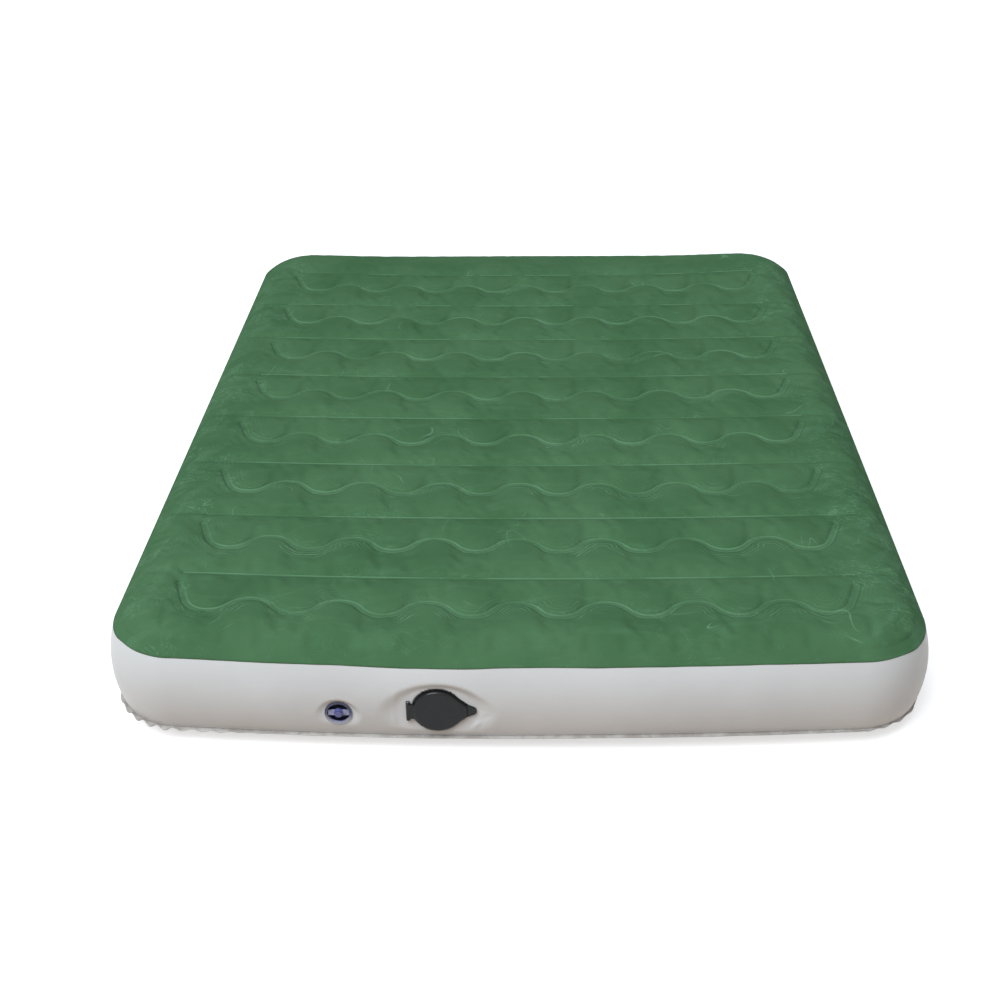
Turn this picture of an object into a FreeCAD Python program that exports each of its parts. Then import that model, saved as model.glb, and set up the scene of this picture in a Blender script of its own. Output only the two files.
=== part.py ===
"""Flocked air mattress with a built-in rechargeable pump, in millimetres.

The bed stands on the floor with +Z up. The origin is the middle of the flat underside.
Its length runs along Y, its width along X, and the pump and valve are in the end wall at -Y.
Each physical piece is written to parts/NAME.step as a solid of its own.
"""

import FreeCAD
import Part
import math
import os

from FreeCAD import Vector

# ---------------------------------------------------------------- driving dimensions: the bladder
bed_length = 2030.0          # over the bulge of the end walls
bed_width = 1520.0           # over the bulge of the side walls
bed_height = 220.0           # floor to the crest of the channels
corner_radius = 149.0        # plan radius of the four corners, at the bulge
end_bow_radius = 8500.0      # the two ends are bowed out on this plan radius
sheet = 1.2                  # PVC sheet with its flock, as modelled

top_roll = 34.0              # crest of the channels down to the weld of the top and the side band
base_seam_height = 35.0      # weld between the side band and the base sheet
band_radius = 220.0          # curve of the side band, seen from the end
crown_width = 85.0           # how far in the top rolls before it is level
crown_rise = 3.0             # the envelope's level top stands this far over the channel crests
base_roll = 60.0             # how far in the base rolls before it lies on the floor
weld_flange = 7.0            # free edge outside the base weld

# ---------------------------------------------------------------- driving dimensions: the beams
beam_rows = 8
pump_end_margin = 273.0      # pump end to the nearest straight beam
far_end_margin = 196.0       # far end to the nearest straight beam
side_margin = 126.0          # side of the bed to the end of a beam
wave_lead = 104.0            # each wave beam lies this far on the pump side of its straight beam
channel_depth = 12.0         # crest to trough of the top
beam_web = 0.8
wave_swing = 45.0            # side to side of the wave
wave_troughs = 8
hook_radius = 45.0           # each end of a wave turns up on this radius
hook_turn = 70.0             # degrees turned by the hook
hook_run = 62.0              # straight run after the hook
web_gap = 0.2                # weld film between a web and the sheets above and below it

# ---------------------------------------------------------------- driving dimensions: the pump
pump_x = -139.5
pump_drop = 14.5             # the pump's axis below the bulge of the wall
seat_margin = 0.25           # a flat seat is dished in this much deeper than the wall at its low edge
pump_seat_radius = 66.0
seat_slope = 25.0            # degrees that the dish rises from its flat

housing_radius = 43.0        # front part of the housing, outside
housing_wall = 2.0
housing_step = 16.5          # depth of the ledge that carries the faceplate
housing_core_radius = 40.5   # rear part, outside
housing_depth = 115.0
fit_gap = 0.3                # clearance between parts that are pushed together

collar_flange_radius = 56.0
collar_flange = 2.0
collar_sleeve = 1.5
collar_length = 32.0

bezel_radius = 45.6
bezel_bore = 39.6
bezel_height = 3.0

faceplate_thickness = 2.5
grille_slots = 24
grille_inner = 22.0
grille_outer = 31.0
grille_slot_width = 2.6
screw_circle = 37.3
screw_radius = 1.5
screw_boss_radius = 3.0
screw_boss_length = 6.0
screw_head_radius = 2.1
screw_head_height = 1.8
screw_length = 8.0

dial_radius = 17.0
dial_disc = 4.0
dial_rib_height = 6.7
dial_rib_width = 7.0
dial_shaft_radius = 3.9
dial_bore_gap = 0.1

port_width = 9.0
port_height = 3.3
port_depth = 7.0
port_wall = 0.5
port_drop = 35.3             # below the dial's axis

impeller_radius = 33.0
impeller_hub_radius = 7.0
impeller_front = 24.0        # depth of the blade tips
impeller_back = 36.0         # depth of the back plate's rear face
impeller_plate = 1.4
impeller_blades = 9
blade_thickness = 1.3
blade_root_radius = 11.0
blade_sweep = 48.0           # degrees that a blade leans back from root to tip
shaft_radius = 1.15
shaft_gap = 0.05

motor_plate_front = 38.5
motor_plate_thickness = 2.5
motor_radius = 13.85
motor_length = 32.5
motor_boss_radius = 5.0
motor_boss_height = 2.2
motor_screw_spacing = 16.0

cell_radius = 9.1
cell_length = 65.0
cell_tip = 1.0
cell_tip_radius = 3.0
cell_groove = 4.0            # crimp groove this far below the top of the can
cell_circle = 26.2
tray_disc = 2.0
post_circle = 33.5
post_radius = 3.0
board_thickness = 1.6
strap_thickness = 0.5
strap_width = 8.0

outlet_radius = 13.0
flap_overlap = 4.0
flap_thickness = 2.0
flap_hinge_rise = 20.0
flap_knuckle_radius = 2.0
flap_knuckle_length = 16.0
flap_pin_radius = 1.0
flap_ear = 3.0
pin_gap = 0.05               # running clearance round a hinge pin

# ---------------------------------------------------------------- driving dimensions: the pump cap
cap_radius = 45.2
cap_seat_gap = 0.3           # under the closed cap
cap_height = 8.0
cap_wall = 3.0
cap_rim = 1.8                # thin flat rim round the foot of the cap, this thick
cap_rim_step = 2.0           # how far the rim stands out past the raised part
cap_edge_round = 4.5
cap_skirt_radius = 38.2
cap_skirt_wall = 1.6
cap_skirt_reach = 2.8        # how deep the skirt enters the bezel
cap_gasket_width = 1.0
cap_gasket_height = 1.4
tab_root = 56.0              # distance from the cap's middle to the root of the pull tab
tab_half_width = 12.5
tab_tip = 63.3               # distance to the middle of the tab's round end
tab_tip_radius = 7.7
tab_thickness = 4.0
hinge_offset = 52.0          # from the cap's middle to the hinge pin
hinge_height = 7.2
hinge_knuckle_radius = 3.4
hinge_knuckle_half = 15.0
hinge_ear = 4.0
hinge_side_gap = 0.3
hinge_pin_radius = 1.5

# ---------------------------------------------------------------- driving dimensions: the valve
valve_x = -317.2
valve_drop = 24.1            # the valve's axis below the bulge of the wall
valve_seat_radius = 28.0
valve_bore = 20.5
valve_tube_wall = 2.0
valve_rim_radius = 25.0
valve_rim_height = 1.5
valve_shelf_depth = 13.2
valve_shelf = 2.0
valve_port_radius = 10.0
valve_length = 32.0
valve_guard = 2.0
valve_cap_disc = 3.0
valve_bar_width = 11.0
valve_bar_top = -1.0         # outward height of the grip bar over the seat
valve_boss_radius = 8.4
valve_boss_top = 2.5
valve_gasket = 1.2
valve_gasket_outer = 14.0
valve_spigot = 2.0
plug_stem_radius = 4.0
plug_head_radius = 6.5
plug_head = 1.6
plug_gap = 0.1
valve_flap_radius = 12.5
valve_flap_thickness = 1.5
valve_flap_rise = 16.0

FULL_TURN = 360.0
OUT = Vector(0, -1, 0)
UP = Vector(0, 0, 1)

# ---------------------------------------------------------------- sizes worked out from those above
top_seam_height = bed_height - top_roll
bulge_height = (top_seam_height + base_seam_height) / 2
corner_x = bed_width / 2 - corner_radius
bow_to_corner = end_bow_radius - corner_radius
bow_centre_y = end_bow_radius - bed_length / 2
corner_y = math.sqrt(bow_to_corner ** 2 - corner_x ** 2) - bow_centre_y
bow_angle = math.degrees(math.asin(corner_x / bow_to_corner))
beam_pitch = (bed_length - pump_end_margin - far_end_margin) / (beam_rows - 1)
first_straight_y = pump_end_margin - bed_length / 2
beam_half_length = bed_width / 2 - side_margin
hook_angle = math.radians(hook_turn)
hook_reach = hook_radius * math.sin(hook_angle) + hook_run * math.cos(hook_angle)
wave_length = 2 * (beam_half_length - hook_reach) / (wave_troughs - 1)
channel_radius = ((beam_pitch / 2) ** 2 + channel_depth ** 2) / (2 * channel_depth)
pump_z = bulge_height - pump_drop
valve_z = bulge_height - valve_drop
flat_top = bed_height + crown_rise


def band_inset(height):
    """How far the side band stands in from its bulge at a height."""
    return band_radius - math.sqrt(band_radius ** 2 - (height - bulge_height) ** 2)


def end_wall_y(x):
    """Y of the end wall's bulge at the pump end, at a place across the bed."""
    return bow_centre_y - math.sqrt(end_bow_radius ** 2 - x ** 2)


pump_seat_depth = band_inset(pump_z - collar_flange_radius) + seat_margin
valve_seat_depth = band_inset(valve_z - valve_rim_radius) + seat_margin
pump_seat_y = end_wall_y(pump_x) + pump_seat_depth
valve_seat_y = end_wall_y(valve_x) + valve_seat_depth
crown_radius = (crown_width ** 2 + (flat_top - top_seam_height) ** 2) / (2 * (flat_top - top_seam_height))
base_radius = (base_roll ** 2 + base_seam_height ** 2) / (2 * base_seam_height)


# ---------------------------------------------------------------- small helpers
def circles_meet(c1, r1, c2, r2, near):
    """The point near a third one where two circles of the (inset, height) plane cross."""
    gap = math.hypot(c2[0] - c1[0], c2[1] - c1[1])
    along = (r1 ** 2 - r2 ** 2 + gap ** 2) / (2 * gap)
    off = math.sqrt(r1 ** 2 - along ** 2)
    ux = (c2[0] - c1[0]) / gap
    uy = (c2[1] - c1[1]) / gap
    foot = (c1[0] + along * ux, c1[1] + along * uy)
    found = [(foot[0] - off * uy, foot[1] + off * ux), (foot[0] + off * uy, foot[1] - off * ux)]
    return min(found, key=lambda p: math.hypot(p[0] - near[0], p[1] - near[1]))


def arc_edge(centre, radius, start, end):
    """The shorter arc round a centre from one point to another, in any one plane."""
    middle = (start - centre) + (end - centre)
    middle.normalize()
    return Part.Arc(start, centre + middle * radius, end).toShape()


def line_edge(start, end):
    return Part.LineSegment(start, end).toShape()


def rod(radius, low, high, x=0.0, y=0.0):
    """A cylinder along the local Z axis."""
    return Part.makeCylinder(radius, high - low, Vector(x, y, low))


def ring(outer, inner, low, high):
    return rod(outer, low, high).cut(rod(inner, low - 1, high + 1))


def block(x0, x1, y0, y1, z0, z1):
    return Part.makeBox(x1 - x0, y1 - y0, z1 - z0, Vector(x0, y0, z0))


def cross_pin(radius, half_length, y, z):
    """A cylinder along the local X axis, for a hinge that lies across."""
    return Part.makeCylinder(radius, 2 * half_length, Vector(-half_length, y, z), Vector(1, 0, 0))


def upright_pin(radius, low, high, x, z):
    """A cylinder along the local Y axis, for a hinge that stands upright."""
    return Part.makeCylinder(radius, high - low, Vector(x, low, z), Vector(0, 1, 0))


def turned(shape, degrees):
    copy = shape.copy()
    copy.rotate(Vector(0, 0, 0), UP, degrees)
    return copy


def around(shape, count, start=0.0):
    """Copies of a shape set round the local Z axis."""
    return [turned(shape, start + FULL_TURN * k / count) for k in range(count)]


def joined(shapes):
    first = shapes[0]
    if len(shapes) == 1:
        return first
    return first.multiFuse(shapes[1:]).removeSplitter()


def on_wall(shape, x, seat_y, z):
    """Moves a piece modelled with +Z outwards and +Y up onto its flat seat in the end wall."""
    placed = shape.copy()
    placed.rotate(Vector(0, 0, 0), Vector(1, 0, 0), 90)
    placed.translate(Vector(x, seat_y, z))
    return placed


def on_pump(shape):
    return on_wall(shape, pump_x, pump_seat_y, pump_z)


def on_valve(shape):
    return on_wall(shape, valve_x, valve_seat_y, valve_z)


# ---------------------------------------------------------------- the bladder
def edge_profile(offset, radius):
    """Closed section of the rim, as a face in the XZ plane, for an outline of that plan radius.

    The inset from the bulge is measured inwards, so a point at inset d lies at X = radius - d.
    offset moves every sheet face inwards by that much.
    """
    band_c = (band_radius, bulge_height)
    crown_c = (band_inset(top_seam_height) + crown_width, flat_top - crown_radius)
    base_c = (band_inset(base_seam_height) + base_roll, base_radius)
    seam_top = (band_inset(top_seam_height), top_seam_height)
    seam_low = (band_inset(base_seam_height), base_seam_height)
    top_corner = circles_meet(band_c, band_radius - offset, crown_c, crown_radius - offset, seam_top)
    low_corner = circles_meet(band_c, band_radius - offset, base_c, base_radius - offset, seam_low)

    def at(point):
        return Vector(radius - point[0], 0, point[1])

    inner_low = at((corner_radius, offset))
    roll_end = at((base_c[0], offset))
    crown_end = at((crown_c[0], flat_top - offset))
    inner_top = at((corner_radius, flat_top - offset))
    edges = [
        line_edge(inner_low, roll_end),
        arc_edge(at(base_c), base_radius - offset, roll_end, at(low_corner)),
        arc_edge(at(band_c), band_radius - offset, at(low_corner), at(top_corner)),
        arc_edge(at(crown_c), crown_radius - offset, at(top_corner), crown_end),
        line_edge(crown_end, inner_top),
        line_edge(inner_top, inner_low),
    ]
    return Part.Face(Part.Wire(edges))


def outline_face(inset, height):
    """The bed's plan outline, moved in from the bulge, as a level face."""
    corner_r = corner_radius - inset
    bow_r = end_bow_radius - inset
    cos_b = math.cos(math.radians(bow_angle))
    sin_b = math.sin(math.radians(bow_angle))
    side_x = corner_x + corner_r
    end_y = corner_y + corner_r * cos_b
    end_x = corner_x + corner_r * sin_b
    edges = []
    for turn in (0, 180):
        parts = [line_edge(Vector(side_x, -corner_y, height), Vector(side_x, corner_y, height))]
        start = Vector(end_x, end_y, height)
        finish = Vector(-end_x, end_y, height)
        if corner_r > 0:
            near = Vector(corner_x, corner_y, height)
            far = Vector(-corner_x, corner_y, height)
            parts.append(arc_edge(near, corner_r, Vector(side_x, corner_y, height), start))
            parts.append(arc_edge(far, corner_r, finish, Vector(-side_x, corner_y, height)))
        parts.append(Part.Arc(start, Vector(0, bow_r - bow_centre_y, height), finish).toShape())
        edges += [turned(part, turn) for part in parts]
    return Part.Face(Part.Wire(Part.__sortEdges__(edges)))


def pillow(offset):
    """The inflated envelope with a level top, before its channels."""
    core = outline_face(corner_radius, offset).extrude(Vector(0, 0, flat_top - 2 * offset))
    pieces = [core]
    corner = edge_profile(offset, corner_radius).revolve(Vector(0, 0, 0), UP, 90 - bow_angle)
    end = turned(edge_profile(offset, end_bow_radius).revolve(Vector(0, 0, 0), UP, 2 * bow_angle), 90 - bow_angle)
    end.translate(Vector(0, -bow_centre_y, 0))
    side = edge_profile(offset, bed_width / 2).extrude(Vector(0, 2 * corner_y, 0))
    side.translate(Vector(0, -corner_y, 0))
    near = corner.copy()
    near.translate(Vector(corner_x, corner_y, 0))
    far = turned(corner, 90 + bow_angle)
    far.translate(Vector(-corner_x, corner_y, 0))
    for piece in (near, end, far, side):
        pieces += [piece, turned(piece, 180)]
    return joined(pieces)


def channel_block(offset):
    """A block whose top is one arc for each channel between two straight beams, level past the last crests."""
    reach_y = bed_length / 2 + 50
    reach_x = bed_width / 2 + 50
    centre_z = bed_height - channel_radius
    radius = channel_radius - offset
    half = beam_pitch / 2
    troughs = [first_straight_y + k * beam_pitch for k in range(beam_rows)]
    crests = [y + half for y in troughs[:-1]]

    def above(y, z):
        return Vector(-reach_x, y, z)

    trough_z = centre_z + math.sqrt(radius ** 2 - half ** 2)
    crest_z = centre_z + radius
    start = above(-reach_y, crest_z)
    end = above(reach_y, crest_z)
    first_crest = above(troughs[0] - half, crest_z)
    last_crest = above(troughs[-1] + half, crest_z)
    first_centre = above(troughs[0] - half, centre_z)
    last_centre = above(troughs[-1] + half, centre_z)
    edges = [line_edge(start, first_crest), line_edge(last_crest, end)]
    edges.append(arc_edge(first_centre, radius, first_crest, above(troughs[0], trough_z)))
    edges.append(arc_edge(last_centre, radius, above(troughs[-1], trough_z), last_crest))
    for crest, low, high in zip(crests, troughs[:-1], troughs[1:]):
        edges.append(arc_edge(above(crest, centre_z), radius, above(low, trough_z), above(high, trough_z)))
    foot = -bed_height
    edges.append(line_edge(end, Vector(-reach_x, reach_y, foot)))
    edges.append(line_edge(Vector(-reach_x, reach_y, foot), Vector(-reach_x, -reach_y, foot)))
    edges.append(line_edge(Vector(-reach_x, -reach_y, foot), start))
    return Part.Face(Part.Wire(Part.__sortEdges__(edges))).extrude(Vector(2 * reach_x, 0, 0))


def dish(x, seat_y, z, flat_radius, offset):
    """The cone that presses a flat seat into the end wall."""
    height = bed_height / 4
    rim = flat_radius + height / math.tan(math.radians(seat_slope))
    return Part.makeCone(flat_radius, rim, height, Vector(x, seat_y + offset, z), OUT)


def envelope(offset):
    """Everything inside the sheets' outer faces, moved in by offset."""
    solid = pillow(offset).common(channel_block(offset))
    solid = solid.cut(dish(pump_x, pump_seat_y, pump_z, pump_seat_radius, offset))
    return solid.cut(dish(valve_x, valve_seat_y, valve_z, valve_seat_radius, offset))


def level_slab(low, high):
    """A slab wider than the bed between two heights."""
    return block(-bed_width, bed_width, -bed_length, bed_length, low, high)


def wall_holes():
    """The two round holes that the pump and the valve go through."""
    length = 4 * sheet
    pump_hole = rod(housing_radius + fit_gap, -length, length)
    valve_hole = rod(valve_bore + valve_tube_wall + fit_gap, -length, length)
    return [on_pump(pump_hole), on_valve(valve_hole)]


def bladder():
    """The outer sheets: the top, the band in two strips welded edge to edge, and the base."""
    skin = envelope(0.0).cut(envelope(sheet))
    top = skin.common(level_slab(top_seam_height, bed_height + 50))
    band = skin.common(level_slab(base_seam_height, top_seam_height))
    for hole in wall_holes():
        band = band.cut(hole)
    pump_strip = block(-corner_x, corner_x, -bed_length, -corner_y, 0, bed_height)
    base = skin.common(level_slab(-50, base_seam_height))
    seam_inset = band_inset(base_seam_height)
    height = base_seam_height - sheet
    apron = outline_face(seam_inset - weld_flange, height).cut(outline_face(seam_inset + sheet, height))
    base = joined([base, apron.extrude(Vector(0, 0, sheet))])
    return {
        "flocked_top": top,
        "pump_end_band": band.common(pump_strip),
        "side_band": band.cut(pump_strip),
        "base_sheet": base,
    }


# ---------------------------------------------------------------- the beams
def wave_path():
    """Centre line of a wave beam, as tangent arcs with a hook at each end, its middle line at Y = 0."""
    half = wave_length / 4
    rise = wave_swing / 2
    arc_radius = (half ** 2 + rise ** 2) / (2 * rise)
    edges = []
    bends = 2 * wave_troughs - 1
    for k in range(bends):
        x = (k - (bends - 1) / 2) * wave_length / 2
        side = -1 if k % 2 == 0 else 1
        start = Vector(x - half, 0, 0)
        middle = Vector(x, side * rise, 0)
        end = Vector(x + half, 0, 0)
        if k == 0:
            start = middle
        if k == bends - 1:
            end = middle
        centre = Vector(x, side * (rise - arc_radius), 0)
        edges.append(arc_edge(centre, arc_radius, start, end))
    last_x = (bends - 1) / 2 * wave_length / 2
    bend_rise = hook_radius * (1 - math.cos(hook_angle))
    bend_end = Vector(last_x + hook_radius * math.sin(hook_angle), bend_rise - rise, 0)
    tip = bend_end + Vector(math.cos(hook_angle), math.sin(hook_angle), 0) * hook_run
    hook = [
        arc_edge(Vector(last_x, hook_radius - rise, 0), hook_radius, Vector(last_x, -rise, 0), bend_end),
        line_edge(bend_end, tip),
    ]
    mirrored = [edge.mirror(Vector(0, 0, 0), Vector(1, 0, 0)) for edge in hook]
    return Part.Wire(Part.__sortEdges__(edges + hook + mirrored))


def beams():
    """The upright webs that hold the top down to the base, each trimmed to the sheets."""
    inside = envelope(sheet + web_gap)
    height = Vector(0, 0, bed_height)
    wave = Part.Face(wave_path().makeOffset2D(beam_web / 2, 0, False, False, False)).extrude(height)
    straight = block(-beam_half_length, beam_half_length, -beam_web / 2, beam_web / 2, 0, bed_height)
    made = {}
    for k in range(beam_rows):
        y = first_straight_y + k * beam_pitch
        web = straight.copy()
        web.translate(Vector(0, y, 0))
        made["straight_beam_%d" % (k + 1)] = web.common(inside)
        web = wave.copy()
        web.translate(Vector(0, y - wave_lead, 0))
        made["wave_beam_%d" % (k + 1)] = web.common(inside)
    return made


# ---------------------------------------------------------------- the pump's body
def pump_collar():
    """Soft flange welded inside the wall, with a sleeve that grips the housing."""
    bore = housing_radius + fit_gap
    flange = ring(collar_flange_radius, bore, -sheet - collar_flange, -sheet)
    step_depth = housing_step + housing_wall + collar_flange
    sleeve = ring(bore + collar_sleeve, bore, -step_depth, -sheet)
    waist = housing_core_radius + fit_gap
    shoulder = ring(bore + collar_sleeve, waist, -step_depth - collar_sleeve, -step_depth)
    tail = ring(waist + collar_sleeve, waist, -collar_length, -step_depth - collar_sleeve)
    return joined([flange, sleeve, shoulder, tail])


def pump_housing():
    """Stepped cup: a wide mouth for the faceplate and a longer rear part with the outlet in its floor."""
    mouth = ring(housing_radius, housing_radius - housing_wall, -housing_step, 0)
    ledge_inner = housing_core_radius - housing_wall
    ledge = ring(housing_radius, ledge_inner, -housing_step - housing_wall, -housing_step)
    core = ring(housing_core_radius, ledge_inner, -housing_depth, -housing_step - housing_wall)
    floor = rod(housing_core_radius, -housing_depth, -housing_depth + housing_wall + 0.5)
    floor = floor.cut(rod(outlet_radius, -housing_depth - 1, 0))
    ear_low = -housing_depth - 2 * flap_knuckle_radius - fit_gap
    ear_top = flap_hinge_rise + flap_knuckle_radius
    inner = flap_knuckle_length / 2 + fit_gap
    body = joined([mouth, ledge, core, floor])
    for side in (-1, 1):
        edge = sorted((side * inner, side * (inner + flap_ear)))
        low = flap_hinge_rise - flap_knuckle_radius
        body = joined([body, block(edge[0], edge[1], low, ear_top, ear_low, -housing_depth)])
    pin_z = -housing_depth - fit_gap - flap_knuckle_radius
    body = body.cut(cross_pin(flap_pin_radius, inner + flap_ear + 1, flap_hinge_rise, pin_z))
    boss_low = -housing_step - screw_boss_length
    bosses = [rod(screw_boss_radius, boss_low, -housing_step, x, y) for x, y in screw_places()]
    body = joined([body] + bosses)
    for x, y in screw_places():
        body = body.cut(rod(screw_radius, boss_low - 1, 1, x, y))
    return body


def screw_places():
    """Where the three faceplate screws stand, one of them at the top."""
    angles = [math.radians(90 + FULL_TURN * k / 3) for k in range(3)]
    return [(screw_circle * math.cos(a), screw_circle * math.sin(a)) for a in angles]


def pump_bezel():
    """Front ring, the wall of the recess down to the faceplate, and two ears for the cap's hinge pin."""
    flange = ring(bezel_radius, bezel_bore, 0, bezel_height)
    recess_floor = -housing_step + faceplate_thickness + fit_gap
    spigot = ring(housing_radius - housing_wall - fit_gap, bezel_bore, recess_floor, 0)
    ear_in = hinge_knuckle_half + hinge_side_gap
    ear_out = ear_in + hinge_ear
    left = -hinge_offset - hinge_knuckle_radius
    right = -hinge_offset + hinge_knuckle_radius
    shoe = block(left, -bezel_bore, -ear_out, ear_out, 0, bezel_height)
    pieces = [flange, spigot, shoe]
    for low, high in ((-ear_out, -ear_in), (ear_in, ear_out)):
        pieces.append(block(left, right, low, high, 0, hinge_height))
        pieces.append(upright_pin(hinge_knuckle_radius, low, high, -hinge_offset, hinge_height))
    body = joined(pieces).cut(rod(bezel_bore, -1, hinge_height))
    return body.cut(upright_pin(hinge_pin_radius, -ear_out - 1, ear_out + 1, -hinge_offset, hinge_height))


def pump_faceplate():
    """Recessed plate with a ring of intake slots, the dial's bearing, the charge port and three screws."""
    top = -housing_step + faceplate_thickness
    plate = rod(housing_radius - housing_wall - fit_gap, -housing_step, top)
    slot = block(grille_inner, grille_outer, -grille_slot_width / 2, grille_slot_width / 2, -housing_step - 1, top + 1)
    for cut in around(slot, grille_slots):
        plate = plate.cut(cut)
    plate = plate.cut(rod(dial_shaft_radius + dial_bore_gap, -housing_step - 1, top + 1))
    plate = plate.cut(port_block(fit_gap / 3))
    for x, y in screw_places():
        plate = plate.cut(rod(screw_radius, -housing_step - 1, top + 1, x, y))
    return plate


def faceplate_screws():
    """Three screws from the faceplate into the housing's ledge."""
    top = -housing_step + faceplate_thickness
    made = []
    for x, y in screw_places():
        head = rod(screw_head_radius, top, top + screw_head_height, x, y)
        shank = rod(screw_radius, top - screw_length, top, x, y)
        slot = block(x - screw_head_radius, x + screw_head_radius, y - 0.4, y + 0.4, top + 1, top + 3)
        made.append(joined([head, shank]).cut(slot))
    return Part.makeCompound(made)


def port_block(grow):
    """Outer block of the charge port, grown by a clearance."""
    half_w = port_width / 2 + grow
    half_h = port_height / 2 + grow
    top = -housing_step + faceplate_thickness
    return block(-half_w, half_w, -port_drop - half_h, -port_drop + half_h, top - port_depth, top + grow)


def charge_port():
    """Folded metal shell of the charge socket with its contact tongue."""
    top = -housing_step + faceplate_thickness
    inner_w = port_width / 2 - port_wall
    inner_h = port_height / 2 - port_wall
    floor = top - port_depth + port_wall
    hollow = block(-inner_w, inner_w, -port_drop - inner_h, -port_drop + inner_h, floor, top + 1)
    tongue = block(-inner_w + 1, inner_w - 1, -port_drop - 0.3, -port_drop + 0.3, floor, top - 1)
    return joined([port_block(0).cut(hollow), tongue])


def mode_dial():
    """Inflate, stop and deflate dial with a grip rib and a pointer flat."""
    base = -housing_step + faceplate_thickness + fit_gap
    disc = rod(dial_radius, base, base + dial_disc)
    disc = disc.makeFillet(1.0, [e for e in disc.Edges if abs(e.BoundBox.ZMin - base - dial_disc) < 0.01])
    half = dial_rib_width / 2
    rib = block(-half, half, -dial_radius + 1.5, dial_radius - 1.5, base + dial_disc - 1, base + dial_disc + dial_rib_height)
    upright = [e for e in rib.Edges if abs(e.BoundBox.ZMax - e.BoundBox.ZMin) > 1]
    rib = rib.makeFillet(1.5, upright)
    shaft = rod(dial_shaft_radius, base - 5.5, base)
    return joined([disc, rib, shaft])


def dial_clip():
    """Spring clip that keeps the dial's shaft in the faceplate."""
    top = -housing_step - fit_gap
    clip = ring(2 * dial_shaft_radius, dial_shaft_radius, top - 1.2, top)
    return clip.cut(block(-1.5, 1.5, 0, 3 * dial_shaft_radius, top - 2, top + 1))


# ---------------------------------------------------------------- the pump's works
def impeller():
    """Centrifugal fan wheel: hub, back plate and blades curved back from the way it turns."""
    hub = rod(impeller_hub_radius, -impeller_back, -impeller_front)
    hub_top = [e for e in hub.Edges if abs(e.BoundBox.ZMin + impeller_front) < 0.01]
    hub = hub.makeFillet(2.0, hub_top)
    plate = rod(impeller_radius, -impeller_back, -impeller_back + impeller_plate)
    blades = around(fan_blade(), impeller_blades)
    wheel = joined([hub, plate] + blades)
    return wheel.cut(rod(shaft_radius, -impeller_back - 1, -impeller_front + 1))


def fan_blade():
    """One blade: a curved strip from the root circle to the rim, lower at the tip than at the root."""
    sweep = math.radians(blade_sweep)
    tip_r = impeller_radius - 0.5
    root_a = Vector(blade_root_radius, 0, 0)
    tip_a = Vector(tip_r * math.cos(sweep), -tip_r * math.sin(sweep), 0)
    mid_r = (blade_root_radius + tip_r) / 2
    mid_a = Vector(mid_r * math.cos(sweep * 0.36), -mid_r * math.sin(sweep * 0.36), 0)
    curve = Part.Arc(root_a, mid_a, tip_a).toShape()
    strip = Part.Face(Part.Wire([curve]).makeOffset2D(blade_thickness / 2, 0, False, False, False))
    height = impeller_back - impeller_front - 1
    blade = strip.extrude(Vector(0, 0, height))
    blade.translate(Vector(0, 0, -impeller_back + impeller_plate / 2))
    lip = Part.makeCone(impeller_radius + 6, blade_root_radius, height / 2 + 2,
                        Vector(0, 0, -impeller_back + height / 2), UP)
    return blade.common(joined([lip, rod(impeller_radius, -impeller_back, -impeller_back + height / 2)]))


def motor_shaft():
    return rod(shaft_radius, -motor_plate_front - motor_plate_thickness - motor_length / 2, -impeller_front - 1)


def motor_plate():
    """Plate that carries the motor on four posts, with windows for the air and holes for two screws."""
    low = -motor_plate_front - motor_plate_thickness
    high = -motor_plate_front
    radius = housing_core_radius - housing_wall - fit_gap
    plate = rod(radius, low, high).cut(rod(motor_boss_radius + fit_gap, low - 1, high + 1))
    window = ring(radius - 9, motor_radius + 5, low - 1, high + 1)
    window = window.common(block(0, radius, -8, 8, low - 1, high + 1))
    for cut in around(window, 4, 45):
        plate = plate.cut(cut)
    for x in (-motor_screw_spacing / 2, motor_screw_spacing / 2):
        plate = plate.cut(rod(screw_radius, low - 1, high + 1, x, 0))
    return plate


def motor():
    """Round can with a front bearing boss, two flats and a bore for the shaft."""
    top = -motor_plate_front - motor_plate_thickness
    can = rod(motor_radius, top - motor_length, top)
    low_edge = [e for e in can.Edges if abs(e.BoundBox.ZMax - top + motor_length) < 0.01]
    can = can.makeFillet(1.5, low_edge)
    boss = rod(motor_boss_radius, top - 1, top + motor_boss_height)
    body = joined([can, boss])
    for x in (-motor_screw_spacing / 2, motor_screw_spacing / 2):
        body = body.cut(rod(screw_radius, top - 3, top + 1, x, 0))
    shaft_end = top - motor_length / 2
    return body.cut(rod(shaft_radius + shaft_gap, shaft_end - fit_gap, top + motor_boss_height + 1))


def motor_screws():
    """Two short screws that hold the motor to its plate."""
    high = -motor_plate_front
    made = []
    for x in (-motor_screw_spacing / 2, motor_screw_spacing / 2):
        head = rod(screw_head_radius - 0.3, high, high + 1.2, x, 0)
        shank = rod(screw_radius, high - motor_plate_thickness - 2.5, high, x, 0)
        made.append(joined([head, shank]))
    return Part.makeCompound(made)


def cell_places():
    """The four cells stand round the motor, between the posts."""
    return [math.radians(45 + 90 * k) for k in range(4)]


def battery_tray():
    """Rear disc with a shallow socket for each cell, and four posts up to the motor plate."""
    floor = -housing_depth + housing_wall + 0.5
    disc = rod(housing_core_radius - housing_wall - fit_gap, floor, floor + tray_disc)
    disc = disc.cut(rod(outlet_radius + 1, floor - 1, floor + tray_disc + 1))
    post_top = -motor_plate_front - motor_plate_thickness
    post = rod(post_radius, floor + tray_disc, post_top, post_circle, 0)
    return joined([disc] + around(post, 4))


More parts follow.
